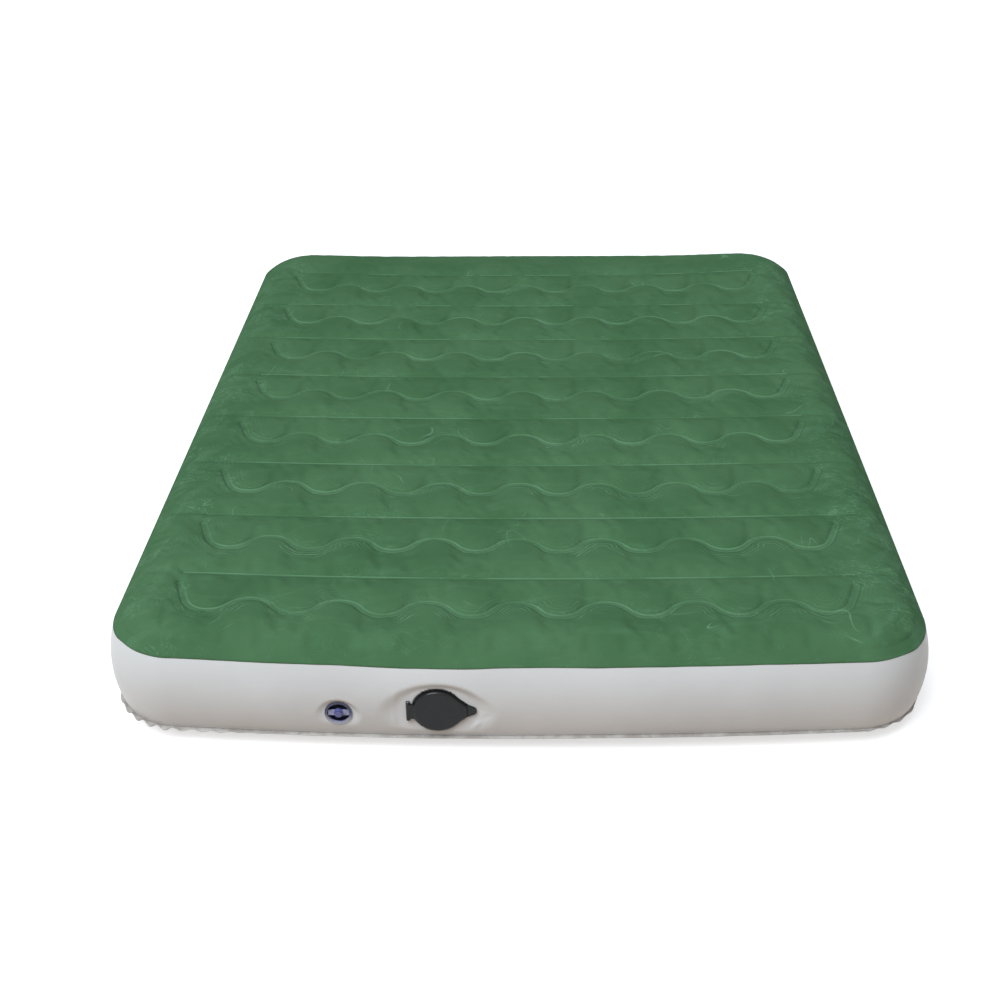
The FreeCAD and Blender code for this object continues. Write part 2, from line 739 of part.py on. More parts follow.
def battery_cell(angle):
    """One round cell with a raised contact at its front end."""
    low = -housing_depth + housing_wall + 0.5 + tray_disc + strap_thickness + fit_gap
    x = cell_circle * math.cos(angle)
    y = cell_circle * math.sin(angle)
    can = rod(cell_radius, low, low + cell_length - cell_tip, x, y)
    groove = low + cell_length - cell_tip - cell_groove
    crimp = ring(cell_radius + 1, cell_radius - 1, groove, groove + 1)
    crimp.translate(Vector(x, y, 0))
    can = can.cut(crimp)
    return joined([can, rod(cell_tip_radius, low + cell_length - cell_tip - 1, low + cell_length, x, y)])


def cell_straps():
    """Two metal straps that join the cells in pairs, on the tray."""
    low = -housing_depth + housing_wall + 0.5 + tray_disc
    at = cell_circle * math.cos(math.radians(45))
    made = []
    for side in (-1, 1):
        x = sorted((side * (at - strap_width / 2), side * (at + strap_width / 2)))
        made.append(block(x[0], x[1], -at - strap_width / 2, at + strap_width / 2, low, low + strap_thickness))
    return Part.makeCompound(made)


def circuit_board():
    """Ring-shaped control board in front of the cells, with holes for the posts."""
    low = (-housing_depth + housing_wall + 0.5 + tray_disc + strap_thickness + fit_gap
           + cell_length + fit_gap)
    board = ring(housing_core_radius - housing_wall - 1, motor_radius + 1.5, low, low + board_thickness)
    for cut in around(rod(post_radius + fit_gap, low - 1, low + board_thickness + 1, post_circle, 0), 4):
        board = board.cut(cut)
    return board


def outlet_flap():
    """Rubber-faced flap that hangs closed over the outlet."""
    pin_z = -housing_depth - fit_gap - flap_knuckle_radius
    face = -housing_depth - fit_gap
    disc = rod(outlet_radius + flap_overlap, face - flap_thickness, face)
    half = flap_knuckle_length / 2
    arm = block(-half, half, 0, flap_hinge_rise, face - flap_thickness, face)
    knuckle = cross_pin(flap_knuckle_radius, half, flap_hinge_rise, pin_z)
    flap = joined([disc, arm, knuckle])
    return flap.cut(cross_pin(flap_pin_radius + pin_gap, half + 1, flap_hinge_rise, pin_z))


def flap_pin():
    pin_z = -housing_depth - fit_gap - flap_knuckle_radius
    half = flap_knuckle_length / 2 + fit_gap + flap_ear
    return cross_pin(flap_pin_radius, half, flap_hinge_rise, pin_z)


# ---------------------------------------------------------------- the pump cap
def cap_outline(shrink):
    """Round cap drawn out to the root of its pull tab, moved in all round by shrink."""
    radius = cap_radius - shrink
    root_x = tab_root - shrink
    root_y = tab_half_width - shrink
    reach = math.hypot(root_x, root_y)
    touch = math.atan2(root_y, root_x) + math.acos(radius / reach)
    top = Vector(radius * math.cos(touch), radius * math.sin(touch), 0)
    low = Vector(top.x, -top.y, 0)
    edges = [
        Part.Arc(top, Vector(-radius, 0, 0), low).toShape(),
        line_edge(low, Vector(root_x, -root_y, 0)),
        line_edge(Vector(root_x, -root_y, 0), Vector(root_x, root_y, 0)),
        line_edge(Vector(root_x, root_y, 0), top),
    ]
    return Part.Face(Part.Wire(edges))


def pull_tab():
    """Thinner tapered tab with a round end."""
    lean = math.atan2(tab_half_width - tab_tip_radius, tab_tip - tab_root)
    touch = Vector(tab_tip + tab_tip_radius * math.sin(lean), tab_tip_radius * math.cos(lean), 0)
    root_top = Vector(tab_root - 1, tab_half_width, 0)
    root_low = Vector(tab_root - 1, -tab_half_width, 0)
    low_touch = Vector(touch.x, -touch.y, 0)
    edges = [
        line_edge(root_low, low_touch),
        Part.Arc(low_touch, Vector(tab_tip + tab_tip_radius, 0, 0), touch).toShape(),
        line_edge(touch, root_top),
        line_edge(root_top, root_low),
    ]
    tab = Part.Face(Part.Wire(edges)).extrude(Vector(0, 0, tab_thickness))
    tab.translate(Vector(0, 0, bezel_height + cap_seat_gap))
    return tab


def pump_cap():
    """Moulded rubber cover: domed edge, hollow ribbed underside, plug skirt, hinge knuckle and pull tab."""
    low = bezel_height + cap_seat_gap
    top = low + cap_height
    body = cap_outline(cap_rim_step).extrude(Vector(0, 0, cap_height))
    body.translate(Vector(0, 0, low))
    edge = [e for e in body.Edges if e.BoundBox.ZMin > top - 0.01]
    body = body.makeFillet(cap_edge_round, edge)
    rim = cap_outline(0).extrude(Vector(0, 0, cap_rim))
    rim.translate(Vector(0, 0, low))
    body = joined([body, rim])
    hollow = cap_outline(cap_rim_step + cap_wall).extrude(Vector(0, 0, cap_height - cap_wall))
    hollow.translate(Vector(0, 0, low))
    body = body.cut(hollow)
    skirt_low = bezel_height - cap_skirt_reach + cap_seat_gap
    skirt = ring(cap_skirt_radius, cap_skirt_radius - cap_skirt_wall, skirt_low, top - 1)
    rib = block(-cap_skirt_radius, cap_skirt_radius, -0.8, 0.8, top - cap_wall - 3, top - 1)
    ribs = [turned(rib, angle) for angle in (0, 60, 120)]
    thin = hinge_knuckle_radius - 0.8
    tongue = block(-hinge_offset, -cap_radius + 6, -hinge_knuckle_half, hinge_knuckle_half,
                   hinge_height - thin, hinge_height + hinge_knuckle_radius - 0.2)
    knuckle = upright_pin(hinge_knuckle_radius, -hinge_knuckle_half, hinge_knuckle_half, -hinge_offset, hinge_height)
    cap = joined([body, skirt, tongue, knuckle, pull_tab()] + ribs)
    hole = upright_pin(hinge_pin_radius + pin_gap, -hinge_knuckle_half - 1, hinge_knuckle_half + 1,
                       -hinge_offset, hinge_height)
    return cap.cut(hole)


def cap_gasket():
    """Sealing ring round the cap's skirt."""
    middle = bezel_height / 2
    return ring(cap_skirt_radius + cap_gasket_width, cap_skirt_radius, middle - cap_gasket_height / 2,
                middle + cap_gasket_height / 2)


def cap_pin():
    half = hinge_knuckle_half + hinge_side_gap + hinge_ear
    return upright_pin(hinge_pin_radius, -half, half, -hinge_offset, hinge_height)


# ---------------------------------------------------------------- the valve
def valve_body():
    """Clear recessed cup with a shelf, an air port, guard bars behind it and ears for the flap."""
    tube_radius = valve_bore + valve_tube_wall
    tube = ring(tube_radius, valve_bore, -valve_length, valve_rim_height)
    rim = ring(valve_rim_radius, valve_bore, 0, valve_rim_height)
    shelf_low = -valve_shelf_depth - valve_shelf
    shelf = ring(valve_bore + 1, valve_port_radius, shelf_low, -valve_shelf_depth)
    guard = block(-valve_bore - 1, valve_bore + 1, -valve_guard / 2, valve_guard / 2,
                  -valve_length, -valve_length + valve_guard)
    pieces = [tube, rim, shelf, guard, turned(guard, 90)]
    inner = flap_knuckle_length / 2 + fit_gap
    for side in (-1, 1):
        x = sorted((side * inner, side * (inner + flap_ear)))
        pieces.append(block(x[0], x[1], valve_flap_rise - flap_knuckle_radius, valve_flap_rise + flap_knuckle_radius,
                            shelf_low - 2 * flap_knuckle_radius - fit_gap, shelf_low))
    body = joined(pieces)
    return body.cut(cross_pin(flap_pin_radius, inner + flap_ear + 1, valve_flap_rise, valve_flap_axis()))


def valve_flap_axis():
    """Local height of the small flap's hinge pin, behind the shelf."""
    return -valve_shelf_depth - valve_shelf - fit_gap - flap_knuckle_radius


def valve_gasket_ring():
    """Flat rubber ring between the cap and the shelf."""
    low = -valve_shelf_depth + fit_gap / 3
    return ring(valve_gasket_outer, valve_port_radius + fit_gap / 3, low, low + valve_gasket)


def valve_cap():
    """Screw cap: disc with a knurled edge, a grip bar across it and a round boss for the plug."""
    disc_low = -valve_shelf_depth + fit_gap / 3 + valve_gasket + fit_gap / 3
    disc_top = disc_low + valve_cap_disc
    radius = valve_bore - fit_gap
    disc = rod(radius, disc_low, disc_top)
    half = valve_bar_width / 2
    bar = block(-radius + 1, radius - 1, -half, half, disc_top - 1, valve_bar_top)
    boss = rod(valve_boss_radius, disc_top - 1, valve_boss_top)
    boss_rim = [e for e in boss.Edges if abs(e.BoundBox.ZMin - valve_boss_top) < 0.01]
    boss = boss.makeFillet(1.0, boss_rim)
    spigot = rod(valve_port_radius - fit_gap, disc_low - valve_spigot, disc_low)
    cap = joined([disc, bar, boss, spigot])
    for cut in around(rod(1.0, disc_low - 1, disc_top + 1, radius + 0.5, 0), 24, 7.5):
        cap = cap.cut(cut)
    return cap.cut(rod(plug_stem_radius + plug_gap, disc_low - valve_spigot - 1, valve_boss_top + 1))


def valve_plug():
    """Push-in plug in the cap's boss, with a domed head."""
    low = -valve_shelf_depth
    head_low = valve_boss_top + fit_gap
    stem = rod(plug_stem_radius, low, head_low)
    head = rod(plug_head_radius, head_low, head_low + plug_head)
    rim = [e for e in head.Edges if abs(e.BoundBox.ZMin - head_low - plug_head) < 0.01]
    head = head.makeFillet(1.0, rim)
    return joined([stem, head])


def valve_flap():
    """Soft flap that hangs closed over the valve's air port."""
    face = -valve_shelf_depth - valve_shelf - fit_gap
    half = flap_knuckle_length / 2
    disc = rod(valve_flap_radius, face - valve_flap_thickness, face)
    arm = block(-half, half, 0, valve_flap_rise, face - valve_flap_thickness, face)
    knuckle = cross_pin(flap_knuckle_radius, half, valve_flap_rise, valve_flap_axis())
    flap = joined([disc, arm, knuckle])
    return flap.cut(cross_pin(flap_pin_radius + pin_gap, half + 1, valve_flap_rise, valve_flap_axis()))


def valve_flap_pin():
    half = flap_knuckle_length / 2 + fit_gap + flap_ear
    return cross_pin(flap_pin_radius, half, valve_flap_rise, valve_flap_axis())


# ---------------------------------------------------------------- the whole bed
def pump_pieces():
    pieces = {
        "pump_collar": pump_collar(),
        "pump_housing": pump_housing(),
        "pump_bezel": pump_bezel(),
        "pump_faceplate": pump_faceplate(),
        "faceplate_screws": faceplate_screws(),
        "charge_port": charge_port(),
        "mode_dial": mode_dial(),
        "dial_clip": dial_clip(),
        "impeller": impeller(),
        "motor_shaft": motor_shaft(),
        "motor_plate": motor_plate(),
        "motor": motor(),
        "motor_screws": motor_screws(),
        "battery_tray": battery_tray(),
        "cell_straps": cell_straps(),
        "circuit_board": circuit_board(),
        "outlet_flap": outlet_flap(),
        "flap_pin": flap_pin(),
        "pump_cap": pump_cap(),
        "cap_gasket": cap_gasket(),
        "cap_pin": cap_pin(),
    }
    for k, angle in enumerate(cell_places()):
        pieces["battery_cell_%d" % (k + 1)] = battery_cell(angle)
    return {name: on_pump(shape) for name, shape in pieces.items()}


def valve_pieces():
    pieces = {
        "valve_body": valve_body(),
        "valve_gasket": valve_gasket_ring(),
        "valve_cap": valve_cap(),
        "valve_plug": valve_plug(),
        "valve_flap": valve_flap(),
        "valve_flap_pin": valve_flap_pin(),
    }
    return {name: on_valve(shape) for name, shape in pieces.items()}


def main():
    os.makedirs("parts", exist_ok=True)
    pieces = {}
    for group in (bladder(), beams(), pump_pieces(), valve_pieces()):
        pieces.update(group)
    for name, shape in pieces.items():
        bad = [s for s in shape.Solids if not s.isValid() or s.Volume <= 0]
        print(name, len(shape.Solids), "solids", round(shape.Volume / 1000, 2), "ml", "BAD" if bad else "")
        shape = shape.Solids[0] if len(shape.Solids) == 1 else Part.makeCompound(shape.Solids)
        shape.exportStep(os.path.join("parts", name + ".step"))


main()
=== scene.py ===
import math

import bpy
import numpy as np
from mathutils import Matrix, Vector, kdtree, noise


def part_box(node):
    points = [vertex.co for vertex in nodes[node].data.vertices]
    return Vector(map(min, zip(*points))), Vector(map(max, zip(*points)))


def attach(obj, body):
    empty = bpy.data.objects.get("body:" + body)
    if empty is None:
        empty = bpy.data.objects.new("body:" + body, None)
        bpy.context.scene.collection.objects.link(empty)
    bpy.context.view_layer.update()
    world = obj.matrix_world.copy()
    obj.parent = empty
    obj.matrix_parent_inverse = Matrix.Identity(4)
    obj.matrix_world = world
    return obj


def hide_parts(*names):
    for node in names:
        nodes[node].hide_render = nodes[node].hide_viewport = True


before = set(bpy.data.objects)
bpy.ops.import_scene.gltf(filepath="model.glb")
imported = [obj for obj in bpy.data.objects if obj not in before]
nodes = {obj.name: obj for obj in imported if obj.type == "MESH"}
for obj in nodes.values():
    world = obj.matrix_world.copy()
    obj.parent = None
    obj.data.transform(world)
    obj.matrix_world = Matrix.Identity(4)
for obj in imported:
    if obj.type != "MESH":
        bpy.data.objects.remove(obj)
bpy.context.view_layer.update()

# ---------------------------------------------------------------- flocked top
# The top is one sheet of thin vinyl with short green flock on its upper face. It is cut to the
# outline of the bed, welded to the side band all round its edge, and pulled down along sixteen
# welds, one over each inner beam: a straight one and a wavy one by turns.
half_width = 0.760
half_length = 1.015
corner_radius = 0.149
corner_x = half_width - corner_radius
near_bow = 8.5
far_bow = 60.0

top_seam = 0.190
base_seam = 0.035
bulge = 0.1105
band_radius = 0.220
level = 0.2215
crown_width = 0.085
sheet = 0.0012

beam_rows = 8
beam_pitch = 0.223
first_straight = -0.742
wave_lead = 0.104
beam_half = 0.634
wave_swing = 0.045
wave_troughs = 8
hook_radius = 0.045
hook_angle = math.radians(70)
hook_run = 0.062
hook_reach = hook_radius * math.sin(hook_angle) + hook_run * math.cos(hook_angle)
wave_length = 2 * (beam_half - hook_reach) / (wave_troughs - 1)
weld_half = 0.0050
straight_half = 0.0024
weld_lip = 0.014
weld_valley = 0.055
straight_lip_drop = 0.0022
straight_drop = 0.0048
wave_lip_drop = 0.0030
wave_drop = 0.0040


def end_shape(y):
    """The plan radius of the end on this side of the middle, and how far back its centre is."""
    radius = np.where(np.asarray(y) > 0, far_bow, near_bow)
    return radius, radius - half_length


def corner_centre(y):
    """How far along the bed the centre of a corner's rounding is."""
    radius, back = end_shape(y)
    return np.sqrt((radius - corner_radius) ** 2 - corner_x ** 2) - back


def band_inset(z):
    """How far the side band stands in from its bulge at a height."""
    return band_radius - np.sqrt(band_radius ** 2 - (z - bulge) ** 2)


def inset_and_normal(x, y):
    """Distance in from the bed's outline at its bulge, and the outline's outward normal there."""
    ax, ay = np.abs(x), np.abs(y)
    radius, back = end_shape(y)
    corner_y = corner_centre(y)
    dx, dy = ax - corner_x, ay - corner_y
    corner_r = np.maximum(np.hypot(dx, dy), 1e-9)
    bow_r = np.hypot(ax, ay + back)
    side = half_width - ax
    bow = radius - bow_r
    in_corner = (dy > 0) & (dx > dy * corner_x / (corner_y + back))
    by_side = ~in_corner & (side < bow)
    inset = np.where(in_corner, corner_radius - corner_r, np.minimum(side, bow))
    nx = np.where(in_corner, dx / corner_r, np.where(by_side, 1.0, ax / bow_r))
    ny = np.where(in_corner, dy / corner_r, np.where(by_side, 0.0, (ay + back) / bow_r))
    return inset, nx * np.sign(x), ny * np.sign(y)


def near_spot(x, y, spot_x, spot_y, reach):
    """One at a spot in plan, fading to nothing over a reach."""
    return np.exp(-((x - spot_x) ** 2 + (y - spot_y) ** 2) / reach ** 2)


corner_puffs = [(-0.64, 0.93, 0.0085), (0.64, 0.93, 0.0095), (-0.66, -0.92, 0.005), (0.66, -0.92, 0.001)]
puff_reach = 0.17
puff_at_seam = 0.55
puff_loss = 0.45


def corner_puff(x, y):
    """How much higher the sheets stand near each corner, where no beam holds them."""
    return sum(rise * near_spot(x, y, cx, cy, puff_reach) for cx, cy, rise in corner_puffs)


def wave_curve():
    """The centre line of a wavy weld, as points close together from one hook to the other."""
    half = wave_length / 4
    rise = wave_swing / 2
    radius = (half ** 2 + rise ** 2) / (2 * rise)
    reach = 2 * (wave_troughs - 1) * half
    x = np.linspace(0, reach, 700)
    bend = np.round(x / (2 * half))
    off = x - bend * 2 * half
    side = np.where((bend + wave_troughs) % 2 == 0, 1.0, -1.0)
    y = side * (rise - radius + np.sqrt(radius ** 2 - off ** 2))
    turn = np.linspace(0, hook_angle, 60)[1:]
    hook_x = reach + hook_radius * np.sin(turn)
    hook_y = -rise + hook_radius * (1 - np.cos(turn))
    run = np.linspace(0, hook_run, 60)[1:]
    run_x = hook_x[-1] + run * math.cos(hook_angle)
    run_y = hook_y[-1] + run * math.sin(hook_angle)
    right_x = np.concatenate([x, hook_x, run_x])
    right_y = np.concatenate([y, hook_y, run_y])
    return np.concatenate([-right_x[:0:-1], right_x]), np.concatenate([right_y[:0:-1], right_y])


weld_bow = 0.018


def weld_bow_at(x):
    """How far the welds bow towards the pump end, most at the middle of their length."""
    return weld_bow * (1 - (x / beam_half) ** 2)


wave_x, wave_y = wave_curve()
straight_rows = [first_straight + k * beam_pitch for k in range(beam_rows)]
wave_rows = [y - wave_lead for y in straight_rows]
wave_way = np.stack([np.gradient(wave_x), np.gradient(wave_y)], -1)
weld_points = kdtree.KDTree(len(wave_x) * beam_rows)
for row in wave_rows:
    for k, (x, y) in enumerate(zip(wave_x, wave_y)):
        weld_points.insert((x, y + row - weld_bow_at(x), 0), k)
weld_points.balance()


def weld_distances(x, y):
    """Distance from each place to the nearest straight weld and to the nearest wavy weld."""
    along = np.maximum(np.abs(x) - beam_half, 0)
    level_y = y + weld_bow_at(x)
    straight = np.min([np.hypot(along, level_y - row) for row in straight_rows], axis=0)
    wavy = np.array([weld_points.find((a, b, 0))[2] for a, b in zip(x, y)])
    return straight, wavy


def weld_sides(x, y):
    """Which side of the nearest straight and wavy weld each place is on: 1 far, -1 near."""
    gaps = np.array([y + weld_bow_at(x) - row for row in straight_rows])
    nearest = np.argmin(np.abs(gaps), axis=0)
    straight = np.sign(np.take_along_axis(gaps, nearest[None], 0)[0])
    wavy = []
    for a, b in zip(x, y):
        spot, k, away = weld_points.find((a, b, 0))
        wavy.append(math.copysign(1, wave_way[k, 0] * (b - spot[1]) - wave_way[k, 1] * (a - spot[0])))
    return straight, np.array(wavy)


def valley(distance, half, lip_drop, drop, reach=weld_valley):
    """How far a weld pulls the sheet down: a short lip beside the weld, and a wide soft valley."""
    lip = np.clip((distance - half) / (weld_lip - half), 0, 1)
    away = np.clip((distance - half) / (reach - half), 0, 1)
    return lip_drop * (1 - lip) ** 2 + drop * (1 - away) ** 2


crown_rise = level - top_seam
crown_radius = (crown_width ** 2 + crown_rise ** 2) / (2 * crown_rise)
seam_inset = float(band_inset(top_seam))
pump_x, pump_z = -0.1395, 0.0960
seam_dip = 0.0038
right_corner_dip = 0.0055
dip_reach = 0.11


def top_seam_at(x, y):
    """Height of the upper weld: it rises a little at the corners and dips over the pump."""
    dip = seam_dip * near_spot(x, y, pump_x, -half_length, dip_reach)
    dip = dip + right_corner_dip * near_spot(x, y, 0.74, -0.93, dip_reach)
    return top_seam + puff_at_seam * corner_puff(x, y) - dip


def top_height(x, y, inset):
    """Height of the top sheet: a rolled border, level within it, and the valleys of the welds."""
    into = np.clip(seam_inset + crown_width - inset, 0, crown_width)
    z = level - crown_radius + np.sqrt(crown_radius ** 2 - into ** 2)
    z += corner_puff(x, y) * (1 - puff_loss * into / crown_width)
    z += (top_seam_at(x, y) - top_seam - puff_at_seam * corner_puff(x, y)) * (into / crown_width) ** 2
    straight, wavy = weld_distances(x, y)
    z -= valley(straight, straight_half, straight_lip_drop, straight_drop)
    z -= valley(wavy, weld_half, wave_lip_drop, wave_drop)
    return z


def spaced(stops, fine, coarse, growth=1.35):
    """Positions from the first stop to the last, close together at each stop and wider between."""
    places = [stops[0]]
    for low, high in zip(stops[:-1], stops[1:]):
        steps = [0.0]
        step = fine
        while steps[-1] + step < (high - low) / 2:
            steps.append(steps[-1] + step)
            step = min(step * growth, coarse)
        near = [low + s for s in steps]
        far = [high - s for s in reversed(steps)]
        if far[0] - near[-1] < 0.4 * step:
            near.pop()
        places += near[1:] + far
    return np.array(places)


def outline_grid(columns, rows, inset, warp=None):
    """A grid of points that fills the outline at an inset, its border exactly on the outline."""
    gx, gy = np.meshgrid(columns, rows)
    radius = corner_radius - inset
    square_x = corner_x
    square_y = half_length - inset - radius
    u = np.clip((np.abs(gx) - square_x) / radius, 0, 1)
    v = np.clip((np.abs(gy) - square_y) / radius, 0, 1)
    x = np.sign(gx) * (np.minimum(np.abs(gx), square_x) + radius * u * np.sqrt(1 - v ** 2 / 2))
    y = np.sign(gy) * (np.minimum(np.abs(gy), square_y) + radius * v * np.sqrt(1 - u ** 2 / 2))
    if warp is not None:
        y = y + warp(x, gy)
    start = 0.80
    share = np.clip((np.abs(gy) - start) / (half_length - inset - start), 0, 1)
    share = share ** 2 * (3 - 2 * share)
    bow = end_shape(gy)[0]
    y = y - np.sign(y) * share * (bow - np.sqrt(bow ** 2 - x ** 2))
    now, nx, ny = inset_and_normal(x, y)
    reach = 10
    across = np.clip(1 - np.arange(len(columns)) / reach, 0, 1)
    down = np.clip(1 - np.arange(len(rows)) / reach, 0, 1)
    for part, normal in ((x, nx), (y, ny)):
        move = (now - inset) * normal
        for s in (slice(None), slice(None, None, -1)):
            for t in (slice(None), slice(None, None, -1)):
                quarter = move[s, t]
                rows_half, columns_half = len(rows) // 2, len(columns) // 2
                f = across[:columns_half][None, :]
                g = down[:rows_half][:, None]
                left = quarter[:rows_half, :1]
                end = quarter[:1, :columns_half]
                blend = f * left + g * end - f * g * quarter[0, 0]
                part[s, t][:rows_half, :columns_half] += blend
    return x, y


def grid_faces(rows, columns):
    """Four-sided faces of a grid of points kept row by row."""
    index = np.arange(rows * columns).reshape(rows, columns)
    return np.stack([index[:-1, :-1], index[:-1, 1:], index[1:, 1:], index[1:, :-1]], -1).reshape(-1, 4)


def border_loop(rows, columns):
    """Indices of a grid's border points, in order round it."""
    index = np.arange(rows * columns).reshape(rows, columns)
    return np.concatenate([index[0, :], index[1:, -1], index[-1, -2::-1], index[-2:0:-1, 0]])


def ring_faces(first_ring, rings, start):
    """Faces that join closed rings of equal count; the first is given by its indices."""
    count = len(first_ring)
    loops = [np.asarray(first_ring)] + [start + k * count + np.arange(count) for k in range(rings)]
    faces = [np.stack([a, b, np.roll(b, -1), np.roll(a, -1)], -1) for a, b in zip(loops[:-1], loops[1:])]
    return np.concatenate(faces)


def piece(name, points, faces, material, body="bed", thickness=0.0):
    """A smooth mesh piece that rides on a body, given a real thickness inwards where asked."""
    mesh = bpy.data.meshes.new(name)
    mesh.from_pydata(points.tolist(), [], faces.tolist())
    mesh.polygons.foreach_set("use_smooth", [True] * len(mesh.polygons))
    mesh.materials.append(material)
    obj = bpy.data.objects.new(name, mesh)
    bpy.context.scene.collection.objects.link(obj)
    if thickness:
        solid = obj.modifiers.new("thickness", "SOLIDIFY")
        solid.thickness = thickness
        solid.offset = -1
        bpy.context.view_layer.objects.active = obj
        bpy.ops.object.select_all(action="DESELECT")
        obj.select_set(True)
        bpy.ops.object.modifier_apply(modifier=solid.name)
    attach(obj, body)
    return obj


def node(tree, kind, inputs=(), **settings):
    """A shader node with its settings and input values, each input a value or another socket."""
    made = tree.nodes.new(kind)
    for key, value in settings.items():
        setattr(made, key, value)
    for key, value in dict(inputs).items():
        if isinstance(value, bpy.types.NodeSocket):
            tree.links.new(value, made.inputs[key])
        else:
            made.inputs[key].default_value = value
    return made


def new_material(name, **sockets):
    """A material with one Principled shader, and its node tree."""
    material = bpy.data.materials.new(name)
    material.use_nodes = True
    tree = material.node_tree
    shader = tree.nodes["Principled BSDF"]
    for key, value in sockets.items():
        shader.inputs[key.replace("_", " ")].default_value = value
    return material, tree, shader


def position(tree, scale=(1, 1, 1), turn=0.0):
    """The place on the object in metres, turned about Z and then stretched by a scale."""
    place = node(tree, "ShaderNodeTexCoord").outputs["Object"]
    if turn:
        place = node(tree, "ShaderNodeVectorRotate", {"Vector": place, "Angle": turn}).outputs["Vector"]
    return node(tree, "ShaderNodeMapping", {"Vector": place, "Scale": scale}).outputs[0]


def noise_value(tree, scale, detail=2.0, rough=0.5, stretch=(1, 1, 1), distortion=0.0, turn=0.0):
    """Soft random values over the object, finer as the scale grows."""
    inputs = {"Vector": position(tree, stretch, turn), "Scale": scale, "Detail": detail}
    inputs.update({"Roughness": rough, "Distortion": distortion})
    return node(tree, "ShaderNodeTexNoise", inputs).outputs["Fac"]


def ramp(tree, value, low, high, out_low=0.0, out_high=1.0, smooth=True):
    """Maps a value from one range to another, held at both ends."""
    inputs = {"Value": value, "From Min": low, "From Max": high, "To Min": out_low, "To Max": out_high}
    kind = "SMOOTHSTEP" if smooth else "LINEAR"
    return node(tree, "ShaderNodeMapRange", inputs, interpolation_type=kind).outputs["Result"]


def mixed(tree, factor, a, b, blend="MIX"):
    """Mixes two colours by a factor."""
    made = node(tree, "ShaderNodeMix", data_type="RGBA", blend_type=blend)
    for socket, value in ((made.inputs[0], factor), (made.inputs[6], a), (made.inputs[7], b)):
        if isinstance(value, bpy.types.NodeSocket):
            tree.links.new(value, socket)
        else:
            socket.default_value = value
    return made.outputs[2]


def times(tree, a, b, operation="MULTIPLY"):
    """Two values multiplied, or joined by another operation."""
    made = node(tree, "ShaderNodeMath", operation=operation)
    for socket, value in zip(made.inputs, (a, b)):
        if isinstance(value, bpy.types.NodeSocket):
            tree.links.new(value, socket)
        else:
            socket.default_value = value
    return made.outputs[0]


def bump(tree, shader, layers):
    """Adds bump layers, each a height socket with its depth in metres and strength."""
    normal = None
    for height, depth, strength in layers:
        inputs = {"Height": height, "Distance": depth, "Strength": strength}
        if normal is not None:
            inputs["Normal"] = normal
        normal = node(tree, "ShaderNodeBump", inputs).outputs["Normal"]
    tree.links.new(normal, shader.inputs["Normal"])


def attribute_value(tree, name):
    """A value that was stored on the mesh, point by point."""
    return node(tree, "ShaderNodeAttribute", attribute_name=name).outputs["Fac"]


def stripe(tree, value, centre, half):
    """One at a value, falling to nothing at a distance either side of it."""
    away = times(tree, times(tree, value, centre, "SUBTRACT"), 0.0, "ABSOLUTE")
    return ramp(tree, away, 0.0, half, 1.0, 0.0)


def lines(tree, value, pitch, sharpness):
    """Fine parallel lines along which a value is the same, a pitch apart in that value."""
    swing = times(tree, times(tree, value, 2 * math.pi / pitch), 0.0, "SINE")
    return ramp(tree, swing, sharpness, 1.0)


flock, tree, shader = new_material("green_flock", Roughness=0.95, Specular_IOR_Level=0.0,
                                   Sheen_Weight=0.02, Sheen_Roughness=0.5, Sheen_Tint=(0.60, 0.85, 0.65, 1))
flock_dark, flock_light = (0.055, 0.132, 0.060, 1), (0.072, 0.158, 0.075, 1)
flock_brushed, flock_haze = (0.088, 0.194, 0.098, 1), (0.108, 0.226, 0.128, 1)
# Pale worn flock for strokes, wrinkles and scratches; along the weld edges it is also a painted highlight.
pale_nap_and_highlight = (0.155, 0.300, 0.180, 1)
# Painted shadow: the dark colour laid beside each weld, strongest on the weld's near side.
weld_shadow_paint = (0.040, 0.098, 0.046, 1)
clouds = ramp(tree, noise_value(tree, 5.0, 3.0, 0.55), 0.30, 0.70)
brushed = ramp(tree, noise_value(tree, 9.0, 5.0, 0.6, (1, 2.6, 1), 0.8), 0.45, 0.80)
colour = mixed(tree, clouds, flock_dark, flock_light)
colour = mixed(tree, times(tree, brushed, 0.40), colour, flock_brushed)
nap = attribute_value(tree, "nap")
edge_nap = ramp(tree, nap, 0.35, 0.95)
haze = ramp(tree, noise_value(tree, 11.0, 4.0, 0.62, (1.6, 0.9, 1), 1.2, 0.6), 0.46, 0.70)
colour = mixed(tree, times(tree, times(tree, haze, edge_nap), 0.45), colour, flock_haze)
stroke_sets = (
    (24.0, (1.0, 4.5, 1.0), 0.55, 0.030),
    (40.0, (4.5, 1.0, 1.0), -0.4, 0.022),
    (26.0, (1.0, 5.0, 1.0), -0.2, 0.024),
)
for scale, stretch, turn, width in stroke_sets:
    strokes = noise_value(tree, scale, 2.0, 0.5, stretch, 0.5, turn)
    strokes = stripe(tree, strokes, 0.5, width)
    here = ramp(tree, noise_value(tree, scale * 0.45, 2.0, 0.5), 0.50, 0.66)
    strokes = times(tree, times(tree, strokes, here), nap)
    colour = mixed(tree, times(tree, strokes, 0.62), colour, pale_nap_and_highlight)
straight_gap = attribute_value(tree, "straight_gap")
wave_gap = attribute_value(tree, "wave_gap")
straight_side = attribute_value(tree, "straight_side")
wave_side = attribute_value(tree, "wave_side")
wrinkle_reach, wrinkle_end = 0.030, 0.044
wrinkle_pitch = 0.0080
near_side = ramp(tree, wave_side, -0.3, 0.3, 1.0, 0.25)
near_wave = times(tree, near_side, ramp(tree, wave_gap, wrinkle_reach, wrinkle_end, 1.0, 0.0))
near_wave = times(tree, near_wave, ramp(tree, wave_gap, weld_half, weld_half * 1.8))
wandering = times(tree, noise_value(tree, 16.0, 3.0, 0.55, (0.6, 1.4, 1)), 0.034)
